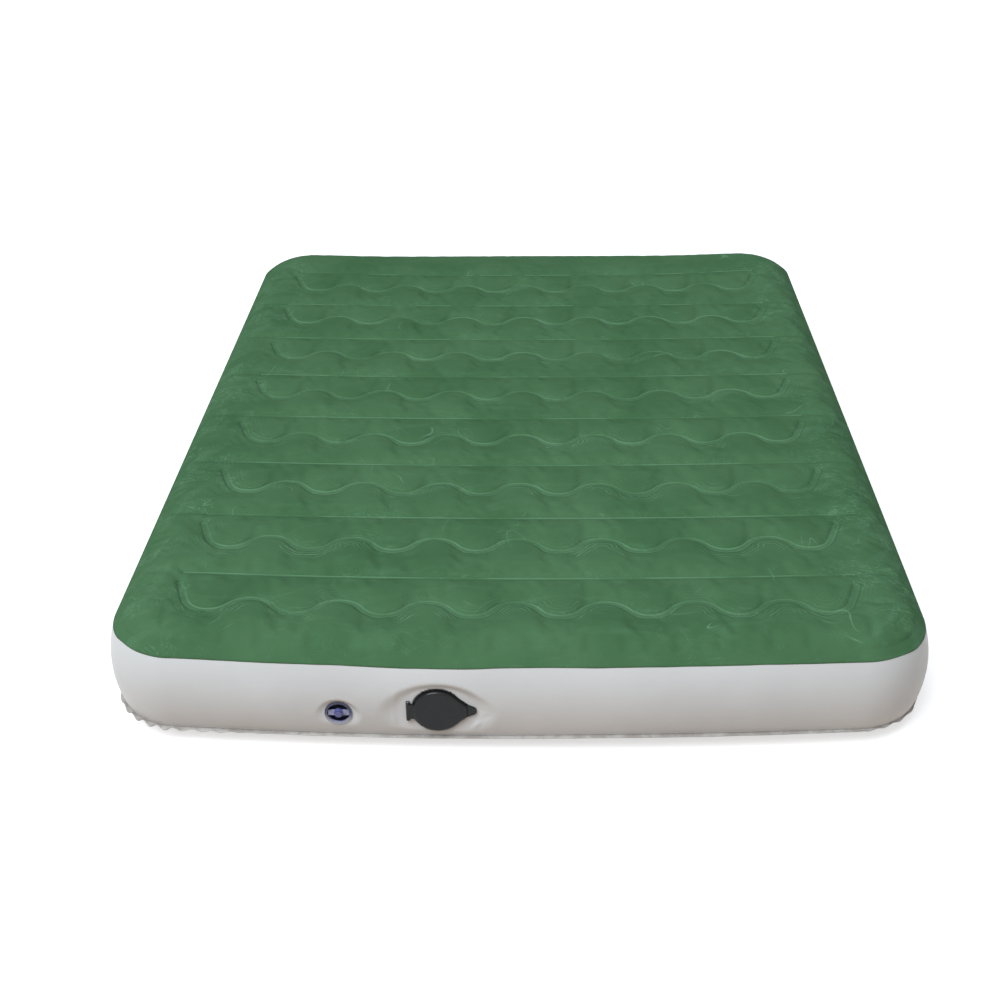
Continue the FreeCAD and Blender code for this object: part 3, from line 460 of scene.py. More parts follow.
wrinkles = lines(tree, times(tree, wave_gap, wandering, "ADD"), wrinkle_pitch, 0.72)
gathered = ramp(tree, noise_value(tree, 8.5, 2.0, 0.5, (0.9, 1.3, 1), 0.4), 0.49, 0.62)
across = node(tree, "ShaderNodeSeparateXYZ", {0: position(tree)}).outputs["X"]
past_end = ramp(tree, times(tree, across, 0.0, "ABSOLUTE"), 0.585, 0.632, 1.0, 0.25)
gathered = times(tree, gathered, past_end)
wrinkles = times(tree, times(tree, wrinkles, near_wave), gathered)
colour = mixed(tree, times(tree, wrinkles, 0.70), colour, pale_nap_and_highlight)
for scale, turn in ((6.0, 0.9), (8.0, -0.5)):
    scratch = stripe(tree, noise_value(tree, scale, 1.0, 0.4, (1.5, 0.7, 1), 0.6, turn), 0.5, 0.0035)
    here = ramp(tree, noise_value(tree, scale * 1.3, 2.0, 0.5, (1, 1, 1), 0.0, turn), 0.60, 0.68)
    colour = mixed(tree, times(tree, times(tree, scratch, here), 0.6), colour, pale_nap_and_highlight)
worn = ramp(tree, noise_value(tree, 7.0, 4.0, 0.65, (1, 1, 1), 0.3), 0.38, 0.64, 0.25, 1.0)
worn = times(tree, worn, past_end)
broken = ramp(tree, noise_value(tree, 5.5, 3.0, 0.6, (1.0, 0.5, 1)), 0.42, 0.56, 0.12, 1.0)
welds = ((straight_gap, straight_side, straight_half, 0.0017, 0.62, 0.0, 0.04, broken),
         (wave_gap, wave_side, weld_half, 0.0021, 0.55, 0.60, 0.16, worn))
for gap, side, half, width, far, near, film, wear in welds:
    # Painted shadow: a dark stripe just beside each weld, stronger on its near side than on its far side.
    shade = stripe(tree, gap, half + width * 1.6, width)
    shade = times(tree, shade, ramp(tree, side, -0.3, 0.3, 0.55, 0.10))
    colour = mixed(tree, shade, colour, weld_shadow_paint)
    # Pale lines of crushed flock at each weld's edges; on the straight welds only the far edge is lit up, a
    # painted highlight where the slope faces the light.
    edge = stripe(tree, gap, half, width)
    strength = ramp(tree, side, -0.3, 0.3, near, far)
    colour = mixed(tree, times(tree, times(tree, edge, strength), wear), colour, pale_nap_and_highlight)
    ribbon = ramp(tree, gap, half, half * 1.5, film, 0.0)
    colour = mixed(tree, times(tree, ribbon, wear), colour, pale_nap_and_highlight)
tree.links.new(colour, shader.inputs["Base Color"])
fibres = noise_value(tree, 1400.0, 2.0, 0.6)
mottle = noise_value(tree, 70.0, 4.0, 0.6)
creases = ramp(tree, noise_value(tree, 26.0, 3.0, 0.5, (1, 1.8, 1), 1.0), 0.47, 0.53)
bump(tree, shader, [(times(tree, creases, nap), 0.0010, 0.3), (wrinkles, 0.0008, 0.35),
                    (mottle, 0.0012, 0.4), (fibres, 0.0004, 0.5)])


core_inset = 0.030
core_x = half_width - core_inset
core_y = half_length - core_inset


def wave_warp(x, row):
    """Bows the rows as the welds are bowed, and moves those near a wavy weld to run along it."""
    ax = np.abs(x)
    bend_x, bend_y = wave_x[wave_x >= 0], wave_y[wave_x >= 0]
    keep = bend_x < beam_half - hook_reach + 0.028
    swing = np.interp(ax, bend_x[keep], bend_y[keep])
    swing = swing * (1 - np.clip((ax - 0.60) / 0.10, 0, 1))
    share = np.zeros_like(row)
    for centre in wave_rows:
        low, high = beam_pitch - wave_lead, wave_lead
        reach = np.where(row < centre, low, high)
        share = np.maximum(share, 1 - np.abs(row - centre) / reach)
    held = np.clip((core_y - np.abs(row)) / (core_y - 0.86), 0, 1)
    return swing * np.clip(share, 0, 1) - weld_bow_at(x) * held ** 2 * (3 - 2 * held)


row_stops = [-core_y] + sorted(straight_rows + wave_rows) + [core_y]
slack_share = 0.012
air_pressure = 4.0
settle_frames = 24
most_lift = 0.016
weld_hold = 0.0045
slack_step = 0.0135


def air_lift(fine_columns, fine_rows):
    """How far air pressure moves each point of a grid of the top, from a cloth held at its welds.

    The slack sheet is a coarse grid on the same lines. It is held at its border and along every
    weld, blown up until it settles, and its moves are carried to the finer grid by splines.
    """
    slack_columns = np.linspace(-core_x, core_x, 113)
    slack_rows = spaced(row_stops, slack_step, slack_step, 1.0)
    px, py = outline_grid(slack_columns, slack_rows, core_inset, wave_warp)
    x, y = px.ravel(), py.ravel()
    inset = inset_and_normal(x, y)[0]
    start = np.stack([x, y, top_height(x, y, inset)], -1)
    straight, wavy = weld_distances(x, y)
    held = np.minimum(straight, wavy) < weld_hold
    held[border_loop(len(slack_rows), len(slack_columns))] = True
    mesh = bpy.data.meshes.new("slack_sheet")
    mesh.from_pydata(start.tolist(), [], grid_faces(len(slack_rows), len(slack_columns)).tolist())
    slack = bpy.data.objects.new("slack_sheet", mesh)
    bpy.context.scene.collection.objects.link(slack)
    welds = slack.vertex_groups.new(name="welds")
    welds.add(np.flatnonzero(held).tolist(), 1.0, "REPLACE")
    cloth = slack.modifiers.new("cloth", "CLOTH")
    settings = cloth.settings
    settings.vertex_group_mass = "welds"
    settings.quality = 6
    settings.mass = 0.02
    settings.tension_stiffness = 30
    settings.compression_stiffness = 30
    settings.shear_stiffness = 12
    settings.bending_stiffness = 0.6
    settings.air_damping = 2.0
    settings.shrink_min = -slack_share
    settings.shrink_max = -slack_share
    settings.use_pressure = True
    settings.uniform_pressure_force = air_pressure
    settings.effector_weights.gravity = 0
    cloth.point_cache.frame_end = settle_frames
    for moment in range(1, settle_frames + 1):
        bpy.context.scene.frame_set(moment)
    settled = slack.evaluated_get(bpy.context.evaluated_depsgraph_get())
    end = np.empty(len(start) * 3)
    settled.data.vertices.foreach_get("co", end)
    move = end.reshape(-1, 3) - start
    bpy.data.objects.remove(slack)
    bpy.data.meshes.remove(mesh)
    bpy.context.scene.frame_set(1)
    size = np.linalg.norm(move, axis=1, keepdims=True)
    move = move * most_lift / (most_lift + size)
    move = move.reshape(len(slack_rows), len(slack_columns), 3)
    down = spline_weights(slack_rows, fine_rows)
    across = spline_weights(slack_columns, fine_columns)
    return np.einsum("ij,jkc,lk->ilc", down, move, across).reshape(-1, 3)


def spline_weights(knots, places):
    """Weights that carry values at the knots to other places along a natural cubic spline."""
    n = len(knots)
    h = np.diff(knots)
    lhs, rhs = np.eye(n), np.zeros((n, n))
    for i in range(1, n - 1):
        lhs[i, i - 1:i + 2] = h[i - 1], 2 * (h[i - 1] + h[i]), h[i]
        rhs[i, i - 1:i + 2] = 6 / h[i - 1], -6 / h[i - 1] - 6 / h[i], 6 / h[i]
    second = np.linalg.solve(lhs, rhs)
    k = np.clip(np.searchsorted(knots, places) - 1, 0, n - 2)
    a = (knots[k + 1] - places) / h[k]
    b = 1 - a
    weights = np.zeros((len(places), n))
    rows = np.arange(len(places))
    weights[rows, k] += a
    weights[rows, k + 1] += b
    weights += ((a ** 3 - a) * h[k] ** 2 / 6)[:, None] * second[k]
    weights += ((b ** 3 - b) * h[k] ** 2 / 6)[:, None] * second[k + 1]
    return weights


middle_half = 0.575
hook_start, hook_stop = 0.5775, 0.650
middle = spaced([-middle_half, middle_half], 0.0060, 0.0060)
hook_columns = np.arange(hook_start, hook_stop, 0.0028)
outer_columns = np.linspace(hook_stop, core_x, 14)
right = np.concatenate([hook_columns, outer_columns])
columns = np.concatenate([-right[::-1], middle, right])
rows = spaced(row_stops, 0.0016, 0.0062, 1.3)
core_px, core_py = outline_grid(columns, rows, core_inset, wave_warp)
x, y = core_px.ravel(), core_py.ravel()
inset, nx, ny = inset_and_normal(x, y)
core_points = np.stack([x, y, top_height(x, y, inset)], -1)
straight, wavy = weld_distances(x, y)
tight_by_weld, free_from_weld = 0.002, 0.008
far_start, far_fade, far_calm = 0.80, 0.08, 0.8
clear = np.clip((np.minimum(straight, wavy) - tight_by_weld) / free_from_weld, 0, 1)
clear *= 1 - far_calm * np.clip((y - far_start) / far_fade, 0, 1)
core_points += air_lift(columns, rows) * clear[:, None]


def grid_border(x, y, nx, ny, rows, columns):
    """A grid's border points in order, their outward normals, and the outline points they face."""
    loop = border_loop(rows, columns)
    normal = nx[loop], ny[loop]
    return loop, normal, (x[loop] + normal[0] * core_inset, y[loop] + normal[1] * core_inset)


def rolled_rings(foot, normal, insets, height):
    """Rings of points that carry a sheet on from its grid to its seam, one at each inset."""
    rings = []
    for value in insets:
        px, py = foot[0] - normal[0] * value, foot[1] - normal[1] * value
        rings.append(np.stack([px, py, height(px, py, np.full_like(px, value))], -1))
    return rings


loop, normal, foot = grid_border(x, y, nx, ny, len(rows), len(columns))
rings = rolled_rings(foot, normal, np.linspace(core_inset, seam_inset + 0.001, 6)[1:], top_height)
lip_drop = 0.0032
lip_proud = 0.0007
lip_wander, corner_wander = 0.0010, 0.0022
wander = np.array([noise.noise((a * 9, b * 9, 0.3)) + 0.5 * noise.noise((a * 24, b * 24, 4.1))
                   for a, b in zip(*foot)])
pulled = near_spot(np.abs(foot[0]), np.abs(foot[1]), 0.70, 0.95, 0.11)
for drop in (0.0008, 0.0020, lip_drop):
    strayed = wander * (lip_wander + corner_wander * pulled) * drop / lip_drop
    z = top_seam_at(*foot) - drop + strayed
    value = band_inset(z) - lip_proud
    rings.append(np.stack([foot[0] - normal[0] * value, foot[1] - normal[1] * value, z], -1))
points = np.concatenate([core_points] + rings)
faces = np.concatenate([grid_faces(len(rows), len(columns)), ring_faces(loop, len(rings), len(core_points))])
flocked_cover = piece("flocked_cover", points, faces, flock, thickness=sheet)
co = np.empty(len(flocked_cover.data.vertices) * 3)
flocked_cover.data.vertices.foreach_get("co", co)
x, y, z = co.reshape(-1, 3).T
inset, nx, ny = inset_and_normal(x, y)
straight, wavy = weld_distances(x, y)
straight_turn, wave_turn = weld_sides(x, y)
# The flock is worn most along the sides, at the ends of the welds and beside them.
sides = np.clip(1 - (half_width - np.abs(x) - 0.02) / 0.14, 0, 1)
front = np.clip(1 - (inset - 0.02) / 0.12, 0, 1)
ends = np.clip(1 - np.abs(np.abs(x) - beam_half) / 0.07, 0, 1)
near_weld = np.clip(1 - np.minimum(straight, wavy) / 0.030, 0, 1)
worn_nap = np.clip(0.08 + 0.80 * sides + 0.16 * front + 0.30 * ends + 0.42 * near_weld, 0, 1)
for name, values in (("nap", worn_nap), ("straight_gap", straight), ("wave_gap", wavy),
                     ("straight_side", straight_turn), ("wave_side", wave_turn)):
    layer = flocked_cover.data.attributes.new(name, "FLOAT", "POINT")
    layer.data.foreach_set("value", values)
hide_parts("flocked_top")

# ---------------------------------------------------------------- side band
# The wall is a strip of grey vinyl welded to the top and the base. The air rounds it outwards, and
# at the pump end it is dished in to a flat seat round the pump and a smaller one round the valve.
valve_x, valve_z = -0.3172, 0.0864
seat_margin = 0.00025
wall_over_collar = 0.0033
collar_radius = 0.056
pump_seat_depth = float(band_inset(pump_z - collar_radius)) + seat_margin - wall_over_collar
pump_seat_radius = 0.066
valve_flange_radius = 0.025
valve_seat_depth = float(band_inset(valve_z - valve_flange_radius)) + seat_margin
valve_seat_radius = 0.0258
pump_seat_squat = 1.36
pump_rim_reach = (0.019, 0.046)
valve_rim_reach = (0.008, 0.018)
holes = ((pump_x, pump_z, 0.0462), (valve_x, valve_z, 0.0232))
hole_snap = 0.0016

grey, tree, shader = new_material("grey_vinyl", Roughness=0.42, Specular_IOR_Level=0.5)
cloud = ramp(tree, noise_value(tree, 4.0, 3.0, 0.5), 0.3, 0.7)
base = mixed(tree, cloud, (0.600, 0.600, 0.605, 1), (0.655, 0.655, 0.66, 1))
dust = ramp(tree, noise_value(tree, 90.0, 4.0, 0.65), 0.55, 0.8)
base = mixed(tree, times(tree, dust, 0.12), base, (0.72, 0.71, 0.70, 1))
tree.links.new(base, shader.inputs["Base Color"])
rough = ramp(tree, noise_value(tree, 14.0, 3.0, 0.6), 0.3, 0.7, 0.36, 0.48)
tree.links.new(rough, shader.inputs["Roughness"])
grain = node(tree, "ShaderNodeTexVoronoi", {"Vector": position(tree), "Scale": 900.0}).outputs["Distance"]
ripple = noise_value(tree, 16.0, 2.0, 0.5)
bump(tree, shader, [(ripple, 0.003, 0.18), (grain, 0.0002, 0.10)])


def outline_points(spacing):
    """Points round the bulge, anticlockwise from the middle of the far end, and their normals."""
    far_y, near_y = float(corner_centre(1)), float(corner_centre(-1))
    far_half = math.asin(corner_x / (far_bow - corner_radius))
    near_half = math.asin(corner_x / (near_bow - corner_radius))
    up, down = math.pi / 2, 3 * math.pi / 2
    stretches = [
        ("bow", up, up + far_half, 0, half_length - far_bow, far_bow),
        ("corner", up + far_half, math.pi, -corner_x, far_y, corner_radius),
        ("side", far_y, -near_y, -half_width, 0, 0),
        ("corner", math.pi, down - near_half, -corner_x, -near_y, corner_radius),
        ("bow", down - near_half, down + near_half, 0, near_bow - half_length, near_bow),
        ("corner", down + near_half, 2 * math.pi, corner_x, -near_y, corner_radius),
        ("side", -near_y, far_y, half_width, 0, 0),
        ("corner", 0, up - far_half, corner_x, far_y, corner_radius),
        ("bow", up - far_half, up, 0, half_length - far_bow, far_bow),
    ]
    px, py, nx, ny = [], [], [], []
    for kind, start, end, cx, cy, radius in stretches:
        length = abs(end - start) * (radius if radius else 1)
        place = 0.0
        stations = []
        while place < length:
            stations.append(place)
            at = start + (end - start) * place / length
            x = cx + radius * math.cos(at) if radius else cx
            y = cy + radius * math.sin(at) if radius else at
            place += spacing(x, y, kind)
        stations = np.array(stations) * length / place
        for station in stations:
            at = start + (end - start) * station / length
            nx.append(math.cos(at) if radius else math.copysign(1, cx))
            ny.append(math.sin(at) if radius else 0.0)
            px.append(cx + radius * nx[-1] if radius else cx)
            py.append(cy + radius * ny[-1] if radius else at)
    return np.array(px), np.array(py), np.array(nx), np.array(ny)


def band_spacing(x, y, kind):
    """How far apart the wall's points are: close by the pump and valve, wide along the sides."""
    if y < 0 and abs(x - pump_x) < 0.11 or y < 0 and abs(x - valve_x) < 0.06:
        return 0.0021
    if y < 0 and kind == "bow":
        return 0.0055
    return {"corner": 0.0065, "side": 0.011, "bow": 0.009}[kind]


def base_seam_at(x, y):
    """Height of the lower weld, which rides up a little along the pump end right of the middle."""
    ride = near_spot(x, y, 0.22, -half_length, 0.24) + near_spot(x, y, 0.50, -half_length, 0.18)
    return base_seam + 0.0042 * np.minimum(ride, 1.0)


def dish(stand_in, x, z, centre_x, centre_z, radius, depth, reach, squat=1.0):
    """The wall pressed in to a flat seat round a fitting, and drawn softly back out to its bulge.

    The reach of the soft part differs above the fitting, and a squat seat is wider than high.
    """
    dx, dz = x - centre_x, (z - centre_z) * squat
    away = np.hypot(dx, dz)
    above = np.clip(dz / np.maximum(away, 1e-6), 0, 1)
    fade = np.clip(1 - (away - radius) / (reach[1] + (reach[0] - reach[1]) * above), 0, 1)
    fade = fade ** 2 * (3 - 2 * fade)
    fall = (x ** 2 - centre_x ** 2) / (2 * near_bow)
    return stand_in + np.maximum(depth - fall - stand_in, 0) * fade, away


def crease(x, z, centre_x, centre_z, lean, length, width):
    """One along a short crease in the wall, fading to nothing at its sides and ends."""
    along = (x - centre_x) * math.cos(lean) + (z - centre_z) * math.sin(lean)
    across = (z - centre_z) * math.cos(lean) - (x - centre_x) * math.sin(lean)
    return np.exp(-(along / length) ** 2 - (across / width) ** 2)


band_px, band_py, band_nx, band_ny = outline_points(band_spacing)
band_rows = np.linspace(0, 1, 56)
PX, DOWN = np.meshgrid(band_px, band_rows)
PY, NX, NY = (np.meshgrid(values, band_rows)[0] for values in (band_py, band_nx, band_ny))
band_top = top_seam_at(PX, PY) - 0.0006
Z = band_top + (base_seam_at(PX, PY) - 0.0010 - band_top) * DOWN
stand_in = band_inset(Z)
near_end = PY < -corner_centre(-1)
dished, pump_away = dish(stand_in, PX, Z, pump_x, pump_z, pump_seat_radius, pump_seat_depth,
                         pump_rim_reach, pump_seat_squat)
dished, valve_away = dish(dished, PX, Z, valve_x, valve_z, valve_seat_radius, valve_seat_depth,
                          valve_rim_reach)
crease_length, crease_width = 0.016, 0.0042
creases_by_pump = (
    (0.071, -0.030, 0.9, 0.0016),
    (0.083, -0.017, 0.7, -0.0010),
    (0.074, 0.036, -0.7, 0.0007),
    (-0.078, -0.020, 1.7, 0.0008),
    (-0.075, 0.030, 1.4, 0.0006),
)
for across, up, lean, ridge in creases_by_pump:
    fold = crease(PX, Z, pump_x + across, pump_z + up, lean, crease_length, crease_width)
    dished = dished - ridge * fold
stand_in = np.where(near_end, dished, stand_in)
wall_sway = 0.0016
pump_calm, valve_calm, calm_fade = 0.075, 0.04, 0.05
sway = np.array([noise.noise((a * 3.1, b * 3.1, c * 5.0))
                 for a, b, c in zip(PX.ravel(), PY.ravel(), Z.ravel())])
middle_of_wall = np.clip(1 - ((Z - bulge) / (top_seam - bulge)) ** 2, 0, 1)
from_fittings = np.minimum(pump_away - pump_calm, valve_away - valve_calm)
calm = np.where(near_end, np.clip(from_fittings / calm_fade, 0, 1), 1)
stand_in = stand_in + wall_sway * sway.reshape(Z.shape) * middle_of_wall * calm
X = PX - NX * stand_in
Y = PY - NY * stand_in
for centre_x, centre_z, radius in holes:
    dx, dz = X - centre_x, Z - centre_z
    away = np.hypot(dx, dz)
    at_edge = near_end & (away < radius + hole_snap) & (away > radius - hole_snap)
    X = np.where(at_edge, centre_x + dx * radius / away, X)
    Z = np.where(at_edge, centre_z + dz * radius / away, Z)
points = np.stack([X.ravel(), Y.ravel(), Z.ravel()], -1)
count = len(band_px)
faces = ring_faces(np.arange(count), len(band_rows) - 1, count)
cut = np.zeros(len(points), bool)
for centre_x, centre_z, radius in holes:
    away = np.hypot(points[:, 0] - centre_x, points[:, 2] - centre_z)
    cut |= near_end.ravel() & (away < radius - 1e-5)
faces = faces[~cut[faces].any(axis=1)]
used = np.unique(faces)
renumber = np.zeros(len(points), int)
renumber[used] = np.arange(len(used))
side_wall = piece("side_wall", points[used], renumber[faces], grey, thickness=sheet)
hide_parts("side_band", "pump_end_band")

# ---------------------------------------------------------------- base sheet and its weld edge
# The underside is a plain vinyl sheet that rolls up to meet the band. Band and base are welded face
# to face with a free edge left outside the weld, which puckers where it goes round the corners.
base_roll = 0.060
base_radius = (base_roll ** 2 + base_seam ** 2) / (2 * base_seam)
base_inset = float(band_inset(base_seam))
base_groove = 0.0035
flange = 0.0070


def base_height(x, y, inset):
    """Height of the base sheet: flat on the floor, rolled up at its edge, grooved at the welds."""
    into = np.clip(base_inset + base_roll - inset, 0, base_roll)
    z = base_radius - np.sqrt(base_radius ** 2 - into ** 2)
    z = z * base_seam_at(x, y) / base_seam
    straight, wavy = weld_distances(x, y)
    z += valley(straight, straight_half, 0.0, base_groove, 0.035)
    return z + valley(wavy, weld_half, 0.0, base_groove, 0.030)


columns = np.concatenate([-right[::-1], spaced([-middle_half, middle_half], 0.011, 0.011), right])
rows = spaced(row_stops, 0.0040, 0.0120, 1.6)
core_px, core_py = outline_grid(columns, rows, core_inset, wave_warp)
x, y = core_px.ravel(), core_py.ravel()
inset, nx, ny = inset_and_normal(x, y)
core_points = np.stack([x, y, base_height(x, y, inset)], -1)
loop, normal, foot = grid_border(x, y, nx, ny, len(rows), len(columns))
rings = rolled_rings(foot, normal, np.linspace(core_inset, base_inset, 8)[1:], base_height)
points = np.concatenate([core_points] + rings)
faces = np.concatenate([grid_faces(len(rows), len(columns)), ring_faces(loop, len(rings), len(core_points))])
underside = piece("underside", points, faces[:, ::-1], grey, thickness=sheet)
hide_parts("base_sheet")

# Painted shade: the free edge is coloured darker and browner than the wall's own grey vinyl, for the shaded
# line along the lower weld.
edge_vinyl_painted_shade, tree, shader = new_material("edge_vinyl_painted_shade", Roughness=0.35, Specular_IOR_Level=0.5)
streaks = ramp(tree, noise_value(tree, 45.0, 3.0, 0.6), 0.35, 0.65)
shade = mixed(tree, streaks, (0.30, 0.27, 0.245, 1), (0.42, 0.395, 0.37, 1))
tree.links.new(shade, shader.inputs["Base Color"])
bump(tree, shader, [(noise_value(tree, 160.0, 3.0), 0.0004, 0.3)])


def edge_spacing(x, y, kind):
    """How far apart the weld edge's points are: close where it puckers."""
    return 0.0028 if kind == "corner" else 0.006


edge_px, edge_py, edge_nx, edge_ny = outline_points(edge_spacing)
ruffles = 0.9 * near_spot(edge_px, edge_py, -0.66, -0.93, 0.13)
ruffles = ruffles + 0.45 * near_spot(edge_px, edge_py, 0.70, -0.93, 0.12)
ruffles += 0.5 * near_spot(np.abs(edge_px), edge_py, 0.70, 0.93, 0.13)
frill_pitch = 0.036
frill_height = 0.0048
frill_spread = 0.35
weld_cover = 0.0012
arc = np.concatenate([[0], np.cumsum(np.hypot(np.diff(edge_px), np.diff(edge_py)))])
drift = np.array([noise.noise((s * 5, 0.7, 0.2)) for s in arc])
frill = np.sin(2 * math.pi * (arc / frill_pitch + 1.1 * drift))
tucked = 0.55 * near_spot(edge_px, edge_py, 0.71, -0.95, 0.16)
waver = np.array([noise.noise((s * 17, 3.1, 0.9)) for s in arc])
lift = 0.0007 * waver + ruffles * (frill_height * frill + 0.0016 * waver)
edge_seam = base_seam_at(edge_px, edge_py)
edge_inset = band_inset(edge_seam)
rings = []
for step in np.linspace(0, 1, 6):
    stand = edge_inset + weld_cover - step * (flange * (1 - tucked) + weld_cover)
    swing = step ** 1.2
    z = edge_seam - 0.0004 - 0.0010 * step + lift * swing
    out = stand + frill_spread * lift * swing
    rings.append(np.stack([edge_px - edge_nx * out, edge_py - edge_ny * out, z], -1))
points = np.concatenate(rings)
faces = ring_faces(np.arange(len(edge_px)), len(rings) - 1, len(edge_px))
weld_edge = piece("weld_edge", points, faces, edge_vinyl_painted_shade, thickness=sheet)
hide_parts("base_sheet")

# ---------------------------------------------------------------- inner beams
# Sixteen upright webs of plain vinyl hold the top to the base. Eight are straight, and eight follow
# a wave with a hook at each end. Each is welded along its upper and lower edges.
web_thickness = 0.0008
web_gap = 0.0006
web_steps = 7
web_vinyl, tree, shader = new_material("web_vinyl", Roughness=0.5, Specular_IOR_Level=0.4)
milky = ramp(tree, noise_value(tree, 12.0, 2.0), 0.3, 0.7)
shade = mixed(tree, milky, (0.55, 0.55, 0.53, 1), (0.64, 0.64, 0.62, 1))
tree.links.new(shade, shader.inputs["Base Color"])
bump(tree, shader, [(noise_value(tree, 220.0, 2.0), 0.0003, 0.3)])


def web(name, x, y, node_name):
    """One upright web along a line in plan, from just over the base to just under the top."""
    inset = inset_and_normal(x, y)[0]
    high = top_height(x, y, inset) - sheet - web_gap
    low = base_height(x, y, inset) + sheet + web_gap
    steps = np.linspace(0, 1, web_steps)[:, None]
    z = low + (high - low) * steps
    spread = np.broadcast_to(x, z.shape), np.broadcast_to(y, z.shape)
    points = np.stack([spread[0].ravel(), spread[1].ravel(), z.ravel()], -1)
    strip = piece(name, points, grid_faces(web_steps, len(x)), web_vinyl, thickness=web_thickness)
    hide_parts(node_name)


for k in range(beam_rows):
    x = np.linspace(-beam_half, beam_half, 90)
    web(f"straight_web_{k + 1}", x, straight_rows[k] - weld_bow_at(x), f"straight_beam_{k + 1}")
    x = wave_x[::8]
    web(f"wave_web_{k + 1}", x, wave_y[::8] + wave_rows[k] - weld_bow_at(x), f"wave_beam_{k + 1}")


def finish_nodes(names, material):
    """Gives parts that keep their own shape a finish."""
    for name in names:
        for slot in nodes[name].material_slots:
            slot.material = material


def moulded(name, colour, lighter, roughness, specular, coat=0.0):
    """A moulded plastic or rubber: fine spark texture and faint handling marks."""
    material, tree, shader = new_material(name, Specular_IOR_Level=specular,
                                          Coat_Weight=coat, Coat_Roughness=0.16)
    cloud = ramp(tree, noise_value(tree, 40.0, 4.0, 0.6), 0.35, 0.7)
    tree.links.new(mixed(tree, cloud, (*colour, 1), (*lighter, 1)), shader.inputs["Base Color"])
    rough = ramp(tree, noise_value(tree, 120.0, 3.0, 0.6), 0.3, 0.7, roughness - 0.05, roughness + 0.06)
    tree.links.new(rough, shader.inputs["Roughness"])
    bump(tree, shader, [(noise_value(tree, 2600.0, 2.0, 0.6), 0.00012, 0.5)])
    return material


cap_rubber = moulded("cap_rubber", (0.012, 0.012, 0.0125), (0.015, 0.015, 0.0155), 0.34, 0.0, 0.5)
dark_plastic = moulded("dark_plastic", (0.006, 0.006, 0.007), (0.010, 0.010, 0.011), 0.42, 0.30)
dial_plastic = moulded("dial_plastic", (0.075, 0.075, 0.080), (0.095, 0.095, 0.100), 0.40, 0.5)
finish_nodes(["pump_cap"], cap_rubber)
finish_nodes(["cap_gasket", "outlet_flap", "valve_gasket"], dark_plastic)
mouldings = ["pump_housing", "pump_bezel", "pump_faceplate", "impeller", "motor_plate", "battery_tray"]
finish_nodes(mouldings, dark_plastic)
finish_nodes(["mode_dial"], dial_plastic)
finish_nodes(["pump_collar"], grey)


def metal(name, colour, roughness):
    """Bright metal with fine turning marks."""
    material, tree, shader = new_material(name, Metallic=1.0)
    marks = noise_value(tree, 300.0, 2.0, 0.5, (1, 9, 1))
    tint = mixed(tree, marks, (*[c * 0.85 for c in colour], 1), (*colour, 1))
    tree.links.new(tint, shader.inputs["Base Color"])
    rough = ramp(tree, marks, 0.2, 0.8, roughness - 0.06, roughness + 0.06)
    tree.links.new(rough, shader.inputs["Roughness"])
    bump(tree, shader, [(marks, 0.0001, 0.3)])
    return material


steel = metal("steel", (0.62, 0.62, 0.63), 0.28)
zinc = metal("zinc_plate", (0.50, 0.51, 0.54), 0.38)
bright_parts = ["faceplate_screws", "charge_port", "dial_clip", "motor_shaft", "motor_screws", "cell_straps"]
finish_nodes(bright_parts + ["flap_pin", "cap_pin", "valve_flap_pin"], steel)
finish_nodes(["motor"], zinc)

cell_wrap, tree, shader = new_material("cell_wrap", Roughness=0.3)
seam = ramp(tree, noise_value(tree, 60.0, 2.0), 0.3, 0.7)
shade = mixed(tree, seam, (0.02, 0.12, 0.30, 1), (0.03, 0.16, 0.38, 1))
tree.links.new(shade, shader.inputs["Base Color"])
bump(tree, shader, [(noise_value(tree, 400.0, 2.0), 0.0001, 0.3)])
finish_nodes([f"battery_cell_{k}" for k in range(1, 5)], cell_wrap)

board, tree, shader = new_material("board_mask", Roughness=0.35)
tracks = node(tree, "ShaderNodeTexBrick", {"Vector": position(tree), "Scale": 90.0,
              "Color1": (0.01, 0.10, 0.04, 1), "Color2": (0.012, 0.12, 0.05, 1),
              "Mortar": (0.03, 0.20, 0.09, 1), "Mortar Size": 0.03})
tree.links.new(tracks.outputs["Color"], shader.inputs["Base Color"])
bump(tree, shader, [(tracks.outputs["Fac"], 0.00005, 0.4)])
finish_nodes(["circuit_board"], board)

# ---------------------------------------------------------------- valve
# The two-way valve is moulded in tinted clear plastic: a body welded into the wall, a turning cap
# with a grip bar, a pull-out plug in the cap's middle, and a flap inside that air pressure shuts.
valve_face = float(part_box("valve_body")[0][1])
boss_radius = 0.0086
boss_groove = 0.0066
rim_inner = 0.0203
# Besides its tint, this finish carries painted shadow in the recess, and painted shade and light on the rim.
tint, tree, shader = new_material("clear_tint_painted_shade", Roughness=0.14, IOR=1.46, Transmission_Weight=0.10)
place = node(tree, "ShaderNodeSeparateXYZ", {0: position(tree)}).outputs
across = times(tree, place["X"], valve_x, "SUBTRACT")
up = times(tree, place["Z"], valve_z, "SUBTRACT")
away = times(tree, times(tree, times(tree, across, across), times(tree, up, up), "ADD"), 0.5, "POWER")
cloud = ramp(tree, noise_value(tree, 160.0, 3.0), 0.35, 0.65)
bar = mixed(tree, cloud, (0.40, 0.41, 0.56, 1), (0.26, 0.27, 0.44, 1))
boss = mixed(tree, stripe(tree, away, boss_groove, 0.0006), (0.105, 0.115, 0.34, 1), (0.03, 0.03, 0.13, 1))
